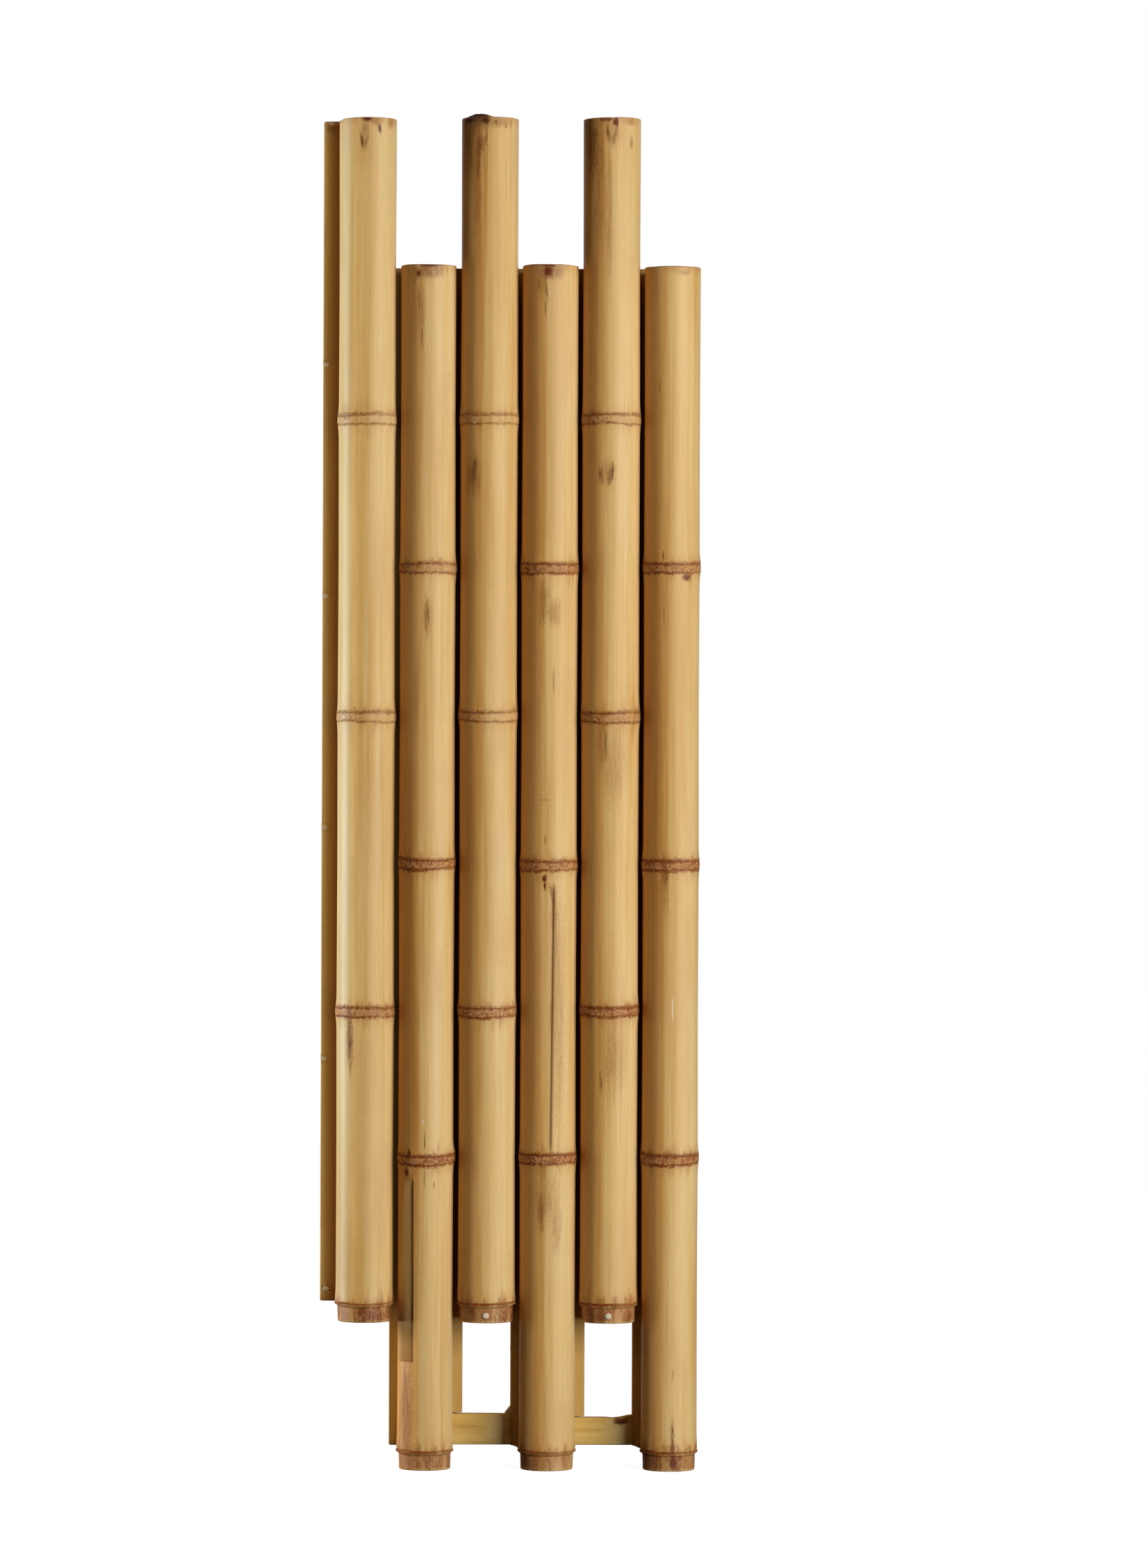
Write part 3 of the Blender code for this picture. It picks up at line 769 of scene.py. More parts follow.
class Graph:
    """A short way to write a material's node tree."""

    def __init__(self, name):
        self.material = bpy.data.materials.new(name)
        self.material.use_nodes = True
        self.tree = self.material.node_tree
        self.tree.nodes.clear()

    def node(self, kind, **settings):
        made = self.tree.nodes.new("ShaderNode" + kind)
        for key, value in settings.items():
            setattr(made, key, value)
        return made

    def feed(self, socket, value):
        """Links an output into a socket, or sets the socket's own value."""
        if isinstance(value, bpy.types.NodeSocket):
            self.tree.links.new(value, socket)
        elif isinstance(value, tuple) and len(value) == 3 and socket.type == "RGBA":
            socket.default_value = (*value, 1.0)
        else:
            socket.default_value = value

    def math(self, operation, a, b=0.5, clamp=False):
        made = self.node("Math", operation=operation, use_clamp=clamp)
        self.feed(made.inputs[0], a)
        self.feed(made.inputs[1], b)
        return made.outputs[0]

    def total(self, first, *others):
        for other in others:
            first = self.math("ADD", first, other)
        return first

    def minus(self, a, b):
        return self.math("SUBTRACT", a, b)

    def most(self, a, b):
        return self.math("MAXIMUM", a, b)

    def size(self, value):
        """A value without its sign."""
        return self.math("ABSOLUTE", value)

    def swing(self, noise, amount):
        """A noise's swing about its middle, times an amount."""
        return self.product(self.minus(noise, 0.5), amount)

    def product(self, first, *others):
        for other in others:
            first = self.math("MULTIPLY", first, other)
        return first

    def remap(self, value, low, high, to_low=0.0, to_high=1.0, kind="SMOOTHSTEP"):
        made = self.node("MapRange", interpolation_type=kind, clamp=True)
        for socket, number in zip(made.inputs[:5], (value, low, high, to_low, to_high)):
            self.feed(socket, number)
        return made.outputs[0]

    def band(self, value, centre, half, soft):
        """1 within half of the centre, falling to 0 over soft."""
        return self.remap(self.size(self.minus(value, centre)), half + soft, half)

    def mix(self, share, a, b, blend="MIX"):
        made = self.node("Mix", data_type="RGBA", blend_type=blend, clamp_factor=True)
        self.feed(made.inputs["Factor"], share)
        self.feed(made.inputs[6], a)
        self.feed(made.inputs[7], b)
        return made.outputs[2]

    def tint(self, share, colour, factor):
        """A colour multiplied by another, as far as the share says."""
        return self.mix(share, colour, self.mix(1.0, colour, factor, "MULTIPLY"))

    def attribute(self, name):
        return self.node("Attribute", attribute_name=name).outputs["Fac"]

    def place(self):
        """The point in the row frame at rest, in millimetres."""
        made = self.node("VectorMath", operation="SCALE")
        self.feed(made.inputs[0], self.node("TexCoord").outputs["Object"])
        made.inputs["Scale"].default_value = 1.0 / MM
        return made.outputs[0]

    def moved(self, vector, offset, stretch):
        made = self.node("VectorMath", operation="MULTIPLY_ADD")
        self.feed(made.inputs[0], vector)
        made.inputs[1].default_value = stretch
        made.inputs[2].default_value = offset
        return made.outputs[0]

    def split(self, vector):
        parts = self.node("SeparateXYZ")
        self.feed(parts.inputs[0], vector)
        return parts.outputs

    def length(self, vector):
        made = self.node("VectorMath", operation="LENGTH")
        self.feed(made.inputs[0], vector)
        return made.outputs["Value"]

    def ellipse(self, vector, centre, half, tilt=0.0):
        """How far a point is from an ellipse's centre, 1 at its edge."""
        fitted = self.node("Mapping", vector_type="TEXTURE")
        self.feed(fitted.inputs["Vector"], vector)
        fitted.inputs["Location"].default_value = centre
        fitted.inputs["Rotation"].default_value = (0.0, 0.0, math.radians(tilt))
        fitted.inputs["Scale"].default_value = half
        return self.length(fitted.outputs[0])

    def cells(self, vector, scale):
        """How far a point is from the nearest of a scatter of cell centres."""
        made = self.node("TexVoronoi", feature="F1")
        self.feed(made.inputs["Vector"], vector)
        made.inputs["Scale"].default_value = scale
        return made.outputs["Distance"]

    def noise(self, vector, scale, detail=2.0, roughness=0.5):
        made = self.node("TexNoise")
        self.feed(made.inputs["Vector"], vector)
        made.inputs["Scale"].default_value = scale
        made.inputs["Detail"].default_value = detail
        made.inputs["Roughness"].default_value = roughness
        return made.outputs["Fac"]

    def ramp(self, value, *stops):
        """Colours at positions from 0 to 1."""
        made = self.node("ValToRGB")
        self.feed(made.inputs[0], value)
        elements = made.color_ramp.elements
        while len(elements) < len(stops):
            elements.new(0.5)
        for element, (position, colour) in zip(elements, stops):
            element.position = position
            element.color = (*colour, 1.0)
        return made.outputs[0]

    def finish(self, colour, roughness, height, relief, specular):
        """Ends the tree in one Principled shader. relief is the height's full scale in millimetres."""
        shader = self.node("BsdfPrincipled")
        bump = self.node("Bump")
        bump.inputs["Strength"].default_value = 1.0
        bump.inputs["Distance"].default_value = relief * MM
        self.feed(bump.inputs["Height"], height)
        self.feed(shader.inputs["Base Color"], colour)
        self.feed(shader.inputs["Roughness"], roughness)
        self.feed(shader.inputs["Normal"], bump.outputs[0])
        shader.inputs["Specular IOR Level"].default_value = specular
        output = self.node("OutputMaterial")
        self.tree.links.new(shader.outputs[0], output.inputs[0])
        return self.material


def fibres(g, place, seed, along):
    """The noises that bamboo is made of, stretched along the grain."""
    rng = np.random.default_rng(seed)
    shift = tuple(rng.uniform(-400.0, 400.0, 3))

    def stretched(amount):
        return tuple(amount if axis == along else 1.0 for axis in range(3))

    return dict(
        broad=g.noise(g.moved(place, shift, stretched(0.05)), 0.11, 2.0, 0.5),
        streak=g.noise(g.moved(place, shift, stretched(0.022)), 0.55, 3.0, 0.55),
        fibre=g.noise(g.moved(place, shift, stretched(0.02)), 2.3, 3.0, 0.6),
        cloud=g.noise(g.moved(place, shift, stretched(0.4)), 0.035, 3.0, 0.5),
        fleck=g.noise(g.moved(place, shift, stretched(0.6)), 1.3, 3.0, 0.6),
        grain=g.noise(g.moved(place, shift, stretched(0.45)), 3.4, 2.0, 0.7),
        blot=g.noise(g.moved(place, shift, stretched(0.12)), 0.32, 3.0, 0.6),
    )


def blend(g, f, **shares):
    """A sum of a bamboo's noises, each times its share."""
    return g.total(*(g.product(f[name], share) for name, share in shares.items()))


def bamboo_colour(g, f, light, mid, deep, contrast):
    """Layered straw colours: broad bands, streaks along the grain, and fine fibres over a soft mottle."""
    tone = blend(g, f, broad=0.40, streak=0.40, cloud=0.20)
    tone = g.remap(tone, 0.5 - 0.17 / contrast, 0.5 + 0.17 / contrast, kind="LINEAR")
    colour = g.ramp(tone, (0.0, deep), (0.45, mid), (1.0, light))
    fine = blend(g, f, fibre=0.45, grain=0.30, fleck=0.25)
    fine = g.remap(fine, 0.3, 0.7, 0.84, 1.10, kind="LINEAR")
    scaled = g.node("VectorMath", operation="SCALE")
    g.feed(scaled.inputs[0], colour)
    g.feed(scaled.inputs["Scale"], fine)
    return scaled.outputs[0]


def skin_marks(g, place, f, centre, foot, marks):
    """Masks of a pipe's marks by kind, each an ellipse laid on the skin with ragged edges."""
    across, depth, up = g.split(place)[:3]
    to_right = g.minus(across, float(centre[0]))
    to_front = g.minus(float(centre[1]), depth)
    arc = g.product(g.math("ARCTAN2", to_right, to_front), SKIN_RADIUS)
    level = g.minus(up, float(foot))
    laid = g.node("CombineXYZ")
    g.feed(laid.inputs[0], arc)
    g.feed(laid.inputs[1], level)
    ragged = g.total(blend(g, f, fleck=0.9, streak=1.1), -1.0)
    masks = {}
    for kind, group in marks.items():
        solid_from = 0.40 if kind in ("stain", "pale") else 0.15
        for angle, height, width, length, tilt, strength in group:
            middle = (math.radians(angle) * SKIN_RADIUS, height, 0.0)
            away = g.ellipse(laid.outputs[0], middle, (width / 2.0, length / 2.0, 1.0), tilt)
            mask = g.remap(g.total(away, ragged), 1.35, solid_from, 0.0, min(1.0, 1.3 * strength))
            masks[kind] = g.most(masks[kind], mask) if kind in masks else mask
    return masks, arc, level


def ring_colour(g, place, f, colour, ring, stain, side, speckle):
    """Two scored lines with a speckled, bloomed band between them, faint on the upper rings.

    ring is the height above the ring's plane. Also gives the band's own mask.
    """
    wobble = g.total(g.swing(f["fleck"], 1.1), g.swing(f["blot"], 0.9))
    offset = g.total(ring, wobble)
    swell = g.remap(stain, 0.25, 0.9, 0.0, 0.20)
    fat = g.total(g.remap(g.noise(place, 0.33, 3.0, 0.65), 0.36, 0.66, 0.02, 0.34), swell)
    thin = g.total(g.remap(g.noise(place, 0.41, 3.0, 0.65), 0.36, 0.66, 0.0, 0.30), swell)
    broken = g.remap(g.noise(place, 0.70, 3.0, 0.7), 0.34, 0.52, 0.15, 1.0)
    grit = g.product(g.minus(g.noise(place, 1.0, 3.0, 0.85), 0.5), 1.8)
    above = g.minus(g.size(g.total(offset, -UPPER_LINE, g.product(grit, 0.5))), fat)
    above = g.total(above, grit)
    below = g.minus(g.size(g.total(offset, -LOWER_LINE)), thin)
    below = g.total(below, grit)
    lip = g.size(g.minus(offset, LIP_LINE))
    closing = g.remap(g.attribute("ring_phase"), 0.45, 0.40)
    closing_line = g.minus(g.size(g.minus(offset, CLOSING_LINE)), g.product(fat, 0.8))
    above = g.total(above, g.product(closing, 9.0))
    below = g.total(below, g.product(closing, 9.0))
    upper = g.product(g.remap(above, 0.62, 0.0), g.remap(broken, 0.0, 1.0, 0.45, 1.0))
    upper = g.most(upper, g.product(g.remap(closing_line, 0.40, 0.02), closing))
    lower = g.product(g.remap(below, 0.60, 0.0), broken)
    lip = g.product(g.remap(lip, 0.30, 0.05), broken, 0.5, g.minus(1.0, closing))
    feather = g.total(offset, g.swing(f["streak"], -9.0))
    start = g.remap(closing, 0.0, 1.0, 1.8, 0.5)
    feather = g.product(g.remap(feather, 3.9, 2.2), g.remap(g.minus(offset, start), 0.0, 0.3))
    feather = g.product(feather, g.remap(f["blot"], 0.42, 0.60))
    inside = g.product(g.remap(g.size(offset), 2.05, 1.70), g.minus(1.0, closing))
    patch = g.remap(g.noise(place, 0.30, 2.0, 0.5), 0.34, 0.60, 0.35, 1.0)
    band_colour = g.mix(g.remap(stain, 0.32, 0.8, 0.0, 0.88), colour, BAND_TAN)
    band_colour = g.mix(g.product(speckle, g.remap(patch, 0.35, 1.0, 0.06, 0.30)), band_colour, BLOOM)
    # The stipple grows on the left flank: painted shade over the rings' real stains.
    to_left = g.most(g.remap(side, 2.0, -6.0, 0.22, 1.0), g.remap(stain, 0.4, 0.7, 0.0, 0.9))
    thick = g.remap(g.noise(place, 0.55, 3.0, 0.7), 0.36, 0.60, 0.45, 1.0)
    stipple = g.remap(g.noise(place, 0.95, 3.0, 0.85), 0.43, 0.54)
    at_left = g.product(g.remap(side, -1.0, -6.5), g.remap(f["blot"], 0.40, 0.56), 0.75)
    amount = g.most(g.remap(stain, 0.2, 0.62, 0.25, 1.0), at_left)
    stipple = g.product(stipple, to_left, thick, amount)
    band_colour = g.mix(stipple, band_colour, LINE_RED)
    colour = g.mix(inside, colour, band_colour)
    colour = g.mix(g.product(feather, g.remap(stain, 0.0, 1.0, 0.25, 0.65)), colour, STREAK_AND_SHADE_BROWN)
    lines = g.most(g.most(upper, lower), lip)
    # The lines are darker on the left flank too, as painted shade.
    lines = g.product(lines, g.remap(stain, 0.1, 0.8, 0.62, 1.0), g.remap(side, 8.0, -4.0, 0.75, 1.0))
    colour = g.mix(lines, colour, LINE_RED)
    return colour, inside


def stub_colour(g, place, f, colour, level, speckle, brown):
    """A brown, blotched stub under the closing node, speckled pale, tan again at its bottom edge.

    The groove's hollow gets painted shade here too, strongest in its lowest part, and its mask given back.
    """
    stub = g.remap(g.total(g.attribute("stub"), g.swing(f["fleck"], 0.5)), 0.25, 0.75)
    patches = g.remap(g.noise(g.moved(place, (1.0, 2.0, 3.0), (1.0, 1.0, 0.35)), 0.30, 3.0, 0.6), 0.36, 0.60)
    shade = g.product(stub, g.remap(patches, 0.0, 1.0, 0.50 * brown, 0.98 * brown))
    edge_tan = g.remap(g.total(level, g.product(f["fleck"], 1.0)), 0.9, 1.9)
    shade = g.product(shade, g.remap(edge_tan, 0.0, 1.0, 0.35, 1.0))
    colour = g.mix(shade, colour, STUB_BROWN)
    colour = g.mix(g.product(shade, speckle, 0.24), colour, BLOOM)
    deep_part = g.product(stub, g.remap(f["blot"], 0.47, 0.60), g.remap(f["fleck"], 0.36, 0.58))
    colour = g.mix(g.product(deep_part, 0.85 * brown), colour, STAIN_RED)
    # Painted shade in the groove's hollow, strongest in its lowest part.
    hollow = g.product(g.attribute("hollow"), g.remap(level, 60.0, 53.0, 0.10, 0.85))
    colour = g.mix(hollow, colour, GROOVE_PAINTED_SHADE)
    return colour, hollow


def pipe_material(number):
    low, high = extent(f"pipe_{number}")
    centre = (low + high) / 2.0
    length = high[2] - low[2]
    g = Graph(f"bamboo_skin_{number}")
    place = g.place()
    f = fibres(g, place, 40 + number, along=2)
    colour = bamboo_colour(g, f, SKIN_LIGHT, SKIN_MID, SKIN_DEEP, 1.0)
    masks, arc, level = skin_marks(g, place, f, centre, low[2], MARKS[number])

    blush = g.noise(g.moved(place, (37.0 * number, 5.0, 11.0 * number), (1.0, 1.0, 0.30)), 0.07, 3.0, 0.55)
    blush = g.product(g.remap(blush, 0.48, 0.68), g.remap(f["streak"], 0.35, 0.60, 0.45, 1.0), 0.42)
    colour = g.mix(blush, colour, BLUSH)

    # Painted shade browns the left flank and painted light pales the right one; the first pipe has a painted
    # highlight at its left edge instead, with a warmer band of painted shade beside it.
    side = g.total(arc, g.swing(f["streak"], 5.0))
    outside_groove = g.remap(g.attribute("hollow"), 0.2, 0.9, 1.0, 0.1)
    if number != OUTER_PIPE:
        colour = g.tint(g.product(g.band(side, *LEFT_FLANK), outside_groove), colour, PAINTED_SHADE_FLANK)
    colour = g.tint(g.band(side, *RIGHT_FLANK), colour, PAINTED_LIGHT_FLANK)
    if number == OUTER_PIPE:
        colour = g.tint(g.band(side, *BRIGHT_EDGE), colour, PAINTED_HIGHLIGHT_FLANK)
        colour = g.tint(g.band(side, *WARM_EDGE), colour, PAINTED_SHADE_WARM)

    wrapped = g.node("Math", operation="WRAP")
    for socket, value in zip(wrapped.inputs, (g.attribute("ring_phase"), 0.5, -0.5)):
        g.feed(socket, value)
    ring = g.product(wrapped.outputs[0], NODE_STEP)
    stain = g.attribute("ring_stain")
    part = g.attribute("part")
    away = g.size(ring)

    # Brown weathering smeared along the grain beside every ring, and a mottled stain under the rim.
    ragged = g.swing(f["streak"], 16.0)
    near_ring = g.remap(g.total(away, ragged), 9.0, 0.5)
    near_ring = g.product(near_ring, g.remap(f["blot"], 0.46, 0.66), g.remap(stain, 0.0, 1.0, 0.12, 0.50))
    colour = g.mix(near_ring, colour, STREAK_AND_SHADE_BROWN)
    halo = g.product(g.remap(g.total(away, g.product(ragged, 0.35)), 7.5, 1.0), stain, 0.34)
    colour = g.mix(halo, colour, BAND_TAN)
    speckle = g.remap(g.noise(place, 1.6, 4.0, 0.85), 0.44, 0.58)
    mottle = g.remap(g.total(f["blot"], g.product(f["fleck"], 0.6)), 0.66, 0.92)
    rim_gap = g.minus(float(length), level)
    loose = g.swing(f["streak"], 7.0)
    near_rim = g.remap(g.total(rim_gap, loose), 4.5, 0.2)
    colour = g.mix(g.product(near_rim, g.remap(mottle, 0.0, 1.0, 0.30, 0.75)), colour, RIM_TAN)
    edge_line = g.remap(g.total(rim_gap, g.product(f["fleck"], 1.6)), 1.30, 0.70)
    colour = g.mix(g.product(edge_line, g.remap(f["blot"], 0.40, 0.62), 0.8), colour, STAIN_RED)

    colour, inside = ring_colour(g, place, f, colour, ring, stain, side, speckle)
    colour, hollow = stub_colour(g, place, f, colour, level, speckle, STUB_STAINS[number])
    lines_in = g.remap(g.noise(g.moved(place, (3.0, 9.0, 0.0), (1.0, 1.0, 0.10)), 1.5, 3.0, 0.7), 0.38, 0.62)
    if "smear" in masks:
        broken_smear = g.product(masks["smear"], g.remap(lines_in, 0.0, 1.0, 0.55, 1.0))
        colour = g.mix(broken_smear, colour, STREAK_AND_SHADE_BROWN)
    if "bloom" in masks:
        colour = g.mix(g.product(masks["bloom"], g.remap(mottle, 0.0, 1.0, 0.55, 1.0)), colour, PATCH_RED)
        colour = g.mix(g.product(masks["bloom"], speckle, 0.30), colour, BLOOM)
    if "streak" in masks:
        fine_streak = g.product(masks["streak"], g.remap(lines_in, 0.0, 1.0, 0.45, 1.0))
        colour = g.mix(fine_streak, colour, STREAK_DARK)
    if "stain" in masks:
        colour = g.mix(masks["stain"], colour, STAIN_RED)
    if "pale" in masks:
        colour = g.mix(masks["pale"], colour, PALE_NICK_AND_HIGHLIGHT)
    # Painted shade along each groove's sharp edge, and along the step at the lower end of a groove that ends
    # sharply.
    colour = g.mix(g.product(g.attribute("crease"), 0.75), colour, CREASE_PAINTED_SHADE)

    # Cut ends show dark fibre bundles in pale wood, and the bore is paler and dull.
    dots = g.remap(g.cells(g.moved(place, (0.0, 0.0, 0.0), (1.0, 1.0, 0.05)), 1.9), 0.34, 0.16)
    cut_colour = g.mix(g.product(dots, 0.7), CUT_PALE, CUT_DARK)
    cut_colour = g.mix(g.remap(f["blot"], 0.5, 0.7, 0.0, 0.35), cut_colour, STREAK_AND_SHADE_BROWN)
    bore_colour = g.ramp(f["streak"], (0.3, BORE_DEEP), (0.7, BORE_LIGHT))
    colour = g.mix(g.remap(part, 0.15, 0.8), colour, cut_colour)
    colour = g.mix(g.remap(part, 1.2, 1.9), colour, bore_colour)
    colour = g.mix(g.attribute("burnt"), colour, CHAR)

    dull = g.most(g.remap(part, 0.15, 0.8), g.product(inside, stain))
    if "smear" in masks:
        dull = g.most(dull, g.product(masks["smear"], 1.8))
    roughness = g.remap(blend(g, f, fleck=0.5, streak=0.5), 0.3, 0.7, *SKIN_ROUGHNESS)
    dullness = g.total(g.product(dull, 0.12), g.product(hollow, 0.4))
    roughness = g.math("ADD", roughness, dullness, clamp=True)
    height = blend(g, f, fibre=0.45, grain=0.35, fleck=0.3)
    height = g.total(height, g.product(speckle, inside, stain, 0.4))
    return g.finish(colour, roughness, height, GRAIN_RELIEF, specular=0.24)


def plank_material(name, seed, along, colours, stain_ends=0.5, scars=(), pipe_shadow=None):
    """A plank's bamboo. scars are ellipses seen from the front: x, z, width, height, colour and strength.

    The last argument, if given, paints the shadow of a pipe onto the front face, darkening it from one x to
    another: (from x, to x, front y).
    """
    g = Graph(name)
    place = g.place()
    f = fibres(g, place, seed, along)
    colour = bamboo_colour(g, f, *colours, 1.3)
    # Each ridge gets a painted highlight on its crest and a thin line of painted shade beside it.
    away = g.total(g.attribute("ridge_mm"), g.swing(f["fleck"], 0.8))
    colour = g.mix(g.product(g.band(away, 1.5, 0.1, 0.5), 0.25), colour, STREAK_AND_SHADE_BROWN)
    colour = g.mix(g.product(g.remap(away, 1.1, 0.4), 0.60), colour, PALE_NICK_AND_HIGHLIGHT)
    if pipe_shadow:
        clean_to, dark_from, front = pipe_shadow
        across, depth = g.split(place)[:2]
        across = g.total(across, g.swing(f["streak"], 1.6))
        shadow_share = g.remap(across, clean_to, dark_from, 0.0, 0.92, kind="LINEAR")
        # Painted shadow: darker towards the pipe, on the front face only.
        shadow_share = g.product(shadow_share, g.remap(depth, front + 1.4, front + 0.6))
        colour = g.mix(shadow_share, colour, PAINTED_SHADOW_BROWN)
    ragged = g.total(blend(g, f, fleck=1.0, streak=0.8), -0.9)
    seen_flat = g.moved(place, (0.0, 0.0, 0.0), (1.0, 0.0, 1.0))
    for x, z, width, tall, scar_colour, strength in scars:
        away = g.ellipse(seen_flat, (x, 0.0, z), (width / 2.0, 1.0, tall / 2.0))
        colour = g.mix(g.remap(g.total(away, ragged), 1.25, 0.4, 0.0, strength), colour, scar_colour)
    end = g.total(g.attribute("end_mm"), g.swing(f["streak"], 9.0))
    colour = g.mix(g.product(g.remap(end, 3.0, -0.5), stain_ends), colour, STREAK_AND_SHADE_BROWN)
    colour = g.mix(g.product(g.remap(f["blot"], 0.58, 0.74), 0.35), colour, STREAK_AND_SHADE_BROWN)
    roughness = g.remap(blend(g, f, fleck=0.5, streak=0.5), 0.3, 0.7, *PLANK_ROUGHNESS)
    height = blend(g, f, fibre=0.6, grain=0.3, streak=0.5)
    return g.finish(colour, roughness, height, GRAIN_RELIEF, specular=0.25)


def peg_material(name, seed, light, dark, rim_share):
    g = Graph(name)
    place = g.place()
    f = fibres(g, place, seed, along=1)
    colour = g.ramp(blend(g, f, fleck=0.5, grain=0.5), (0.30, dark), (0.62, light))
    rim = g.remap(g.total(g.attribute("reach"), g.swing(f["grain"], 0.35)), 0.8, 1.0)
    colour = g.mix(g.product(rim, rim_share), colour, STREAK_AND_SHADE_BROWN)
    roughness = g.remap(f["fleck"], 0.3, 0.7, 0.55, 0.75)
    return g.finish(colour, roughness, f["grain"], 0.10, specular=0.4)


def cork_material(name, seed):
    g = Graph(name)
    place = g.place()
    rng = np.random.default_rng(seed)
    shift = tuple(rng.uniform(-200.0, 200.0, 3))
    spot = g.moved(place, shift, (1.0, 1.0, 1.0))
    cells = g.cells(spot, 1.2)
    soft = g.noise(spot, 0.5, 4.0, 0.6)
    fine = g.noise(spot, 4.0, 3.0, 0.7)
    colour = g.ramp(soft, (0.3, CORK_DEEP), (0.7, CORK_LIGHT))
    colour = g.mix(g.remap(cells, 0.45, 0.15, 0.0, 0.35), colour, CORK_SEAM)
    colour = g.mix(g.remap(g.attribute("pit"), 0.1, 0.5, 0.0, 0.85), colour, CORK_PIT)
    colour = g.mix(g.remap(fine, 0.55, 0.75, 0.0, 0.3), colour, CORK_FLECK)
    height = g.total(g.product(soft, 0.5), g.product(fine, 0.6))
    return g.finish(colour, g.remap(fine, 0.3, 0.7, 0.78, 0.92), height, 0.12, specular=0.3)


# ---------------------------------------------------------------- building the flute


SLAT_COLOURS = (SLAT_LIGHT, SLAT_MID, SLAT_DEEP)
RAIL_COLOURS = (RAIL_LIGHT, RAIL_MID, RAIL_DEEP)
RIDGE_STEP = 90.0
FIRST_SLAT_RIDGE = 157.5
RAILS = {"foot_rail_left": 2, "foot_rail_right": 4}
JOINT_GAP = 0.3
# A raised splinter on the fourth slat's left edge, just above the rail: foot of the splinter and reach.
SPLINTER = dict(slat=4, height=19.8, reach=2.1)
SPLINTER_GREY = (0.74, 0.64, 0.38)
# The right rail's top edge rises to the right, over a dark knot near its right end.
KNOT = dict(rail="foot_rail_right", from_right=4.6, rise=0.9)


def slat_ridges(number, low, high):
    """Heights of a slat's faint node ridges, and how far each stands out."""
    start = FIRST_SLAT_RIDGE + (0.0 if number == 1 else 17.0 * number)
    found = []
    place = start - 2.0 * RIDGE_STEP
    while place < high - 8.0:
        if place > low + 8.0:
            found.append((place, 0.30 if number == 1 else 0.10))
        place += RIDGE_STEP
    return found


def make_slat(number):
    low, high = extent(f"back_slat_{number}")
    ridges = slat_ridges(number, low[2], high[2])
    fine = [(place - 3.0, place + 3.0, 0.4) for place, _ in ridges]
    fine += [(low[2], low[2] + 1.2, 0.12), (high[2] - 1.2, high[2], 0.12)]
    rails = [name for name, slat in RAILS.items() if slat == number]
    left = low[0]
    right = high[0]
    shoulder = notch = None
    if rails:
        rail_low, rail_high = extent(rails[0])
        shoulder = rail_high[2] + JOINT_GAP
        notch = rail_low[0] - JOINT_GAP
        fine.append((shoulder - 0.8, shoulder + 0.8, 0.1))
    if number == SPLINTER["slat"]:
        fine.append((SPLINTER["height"] - 0.4, SPLINTER["height"] + 4.0, 0.2))
    places = stations(low[2], high[2], 3.0, fine)
    right_edge = np.full_like(places, right)
    if rails:
        right_edge = notch + (right - notch) * smooth(places, shoulder - 0.12, shoulder + 0.12)
    left_edge = np.full_like(places, left)
    scars = []
    pipe_shadow = None
    if number == 1:
        # The first pipe's shadow is painted on the strip of this slat beside it.
        pipe_shadow = (left + 1.4, left + 5.4, low[1])
        scars.append((left + 3.2, high[2] - 2.0, 6.5, 4.5, STREAK_AND_SHADE_BROWN, 0.75))
        scars.append((left + 3.0, high[2] - 0.9, 1.8, 1.2, PALE_NICK_AND_HIGHLIGHT, 0.8))
    if number == SPLINTER["slat"]:
        height = SPLINTER["height"]
        shard = np.clip((places - height) / 0.5, 0.0, 1.0) * np.clip((height + 3.4 - places) / 2.6, 0.0, 1.0)
        left_edge = left_edge - SPLINTER["reach"] * shard
        scars.append((left - 0.8, height + 1.4, 3.2, 4.0, SPLINTER_GREY, 0.85))
    crown = 0.9 if number == 1 else 0.3
    options = dict(edge=0.40, end=0.6, crown=crown, crown_power=6.0, ridges=ridges, rough=0.06)
    if number == 1:
        options["ridge_reach"] = 0.13
    if number in (4, 6):
        options["dip"] = (left + 1.6, 1.3)
    sides = (left_edge, right_edge, low[1], high[1])
    piece = plank(f"split_slat_{number}", "Z", places, *sides, 90 + number, options)
    drill(piece, [f"upper_peg_{number}", f"lower_peg_{number}"], 0.12)
    material = plank_material(f"slat_bamboo_{number}", 60 + number, 2, SLAT_COLOURS, 0.5, scars, pipe_shadow)
    hand_over(piece, f"back_slat_{number}", material)


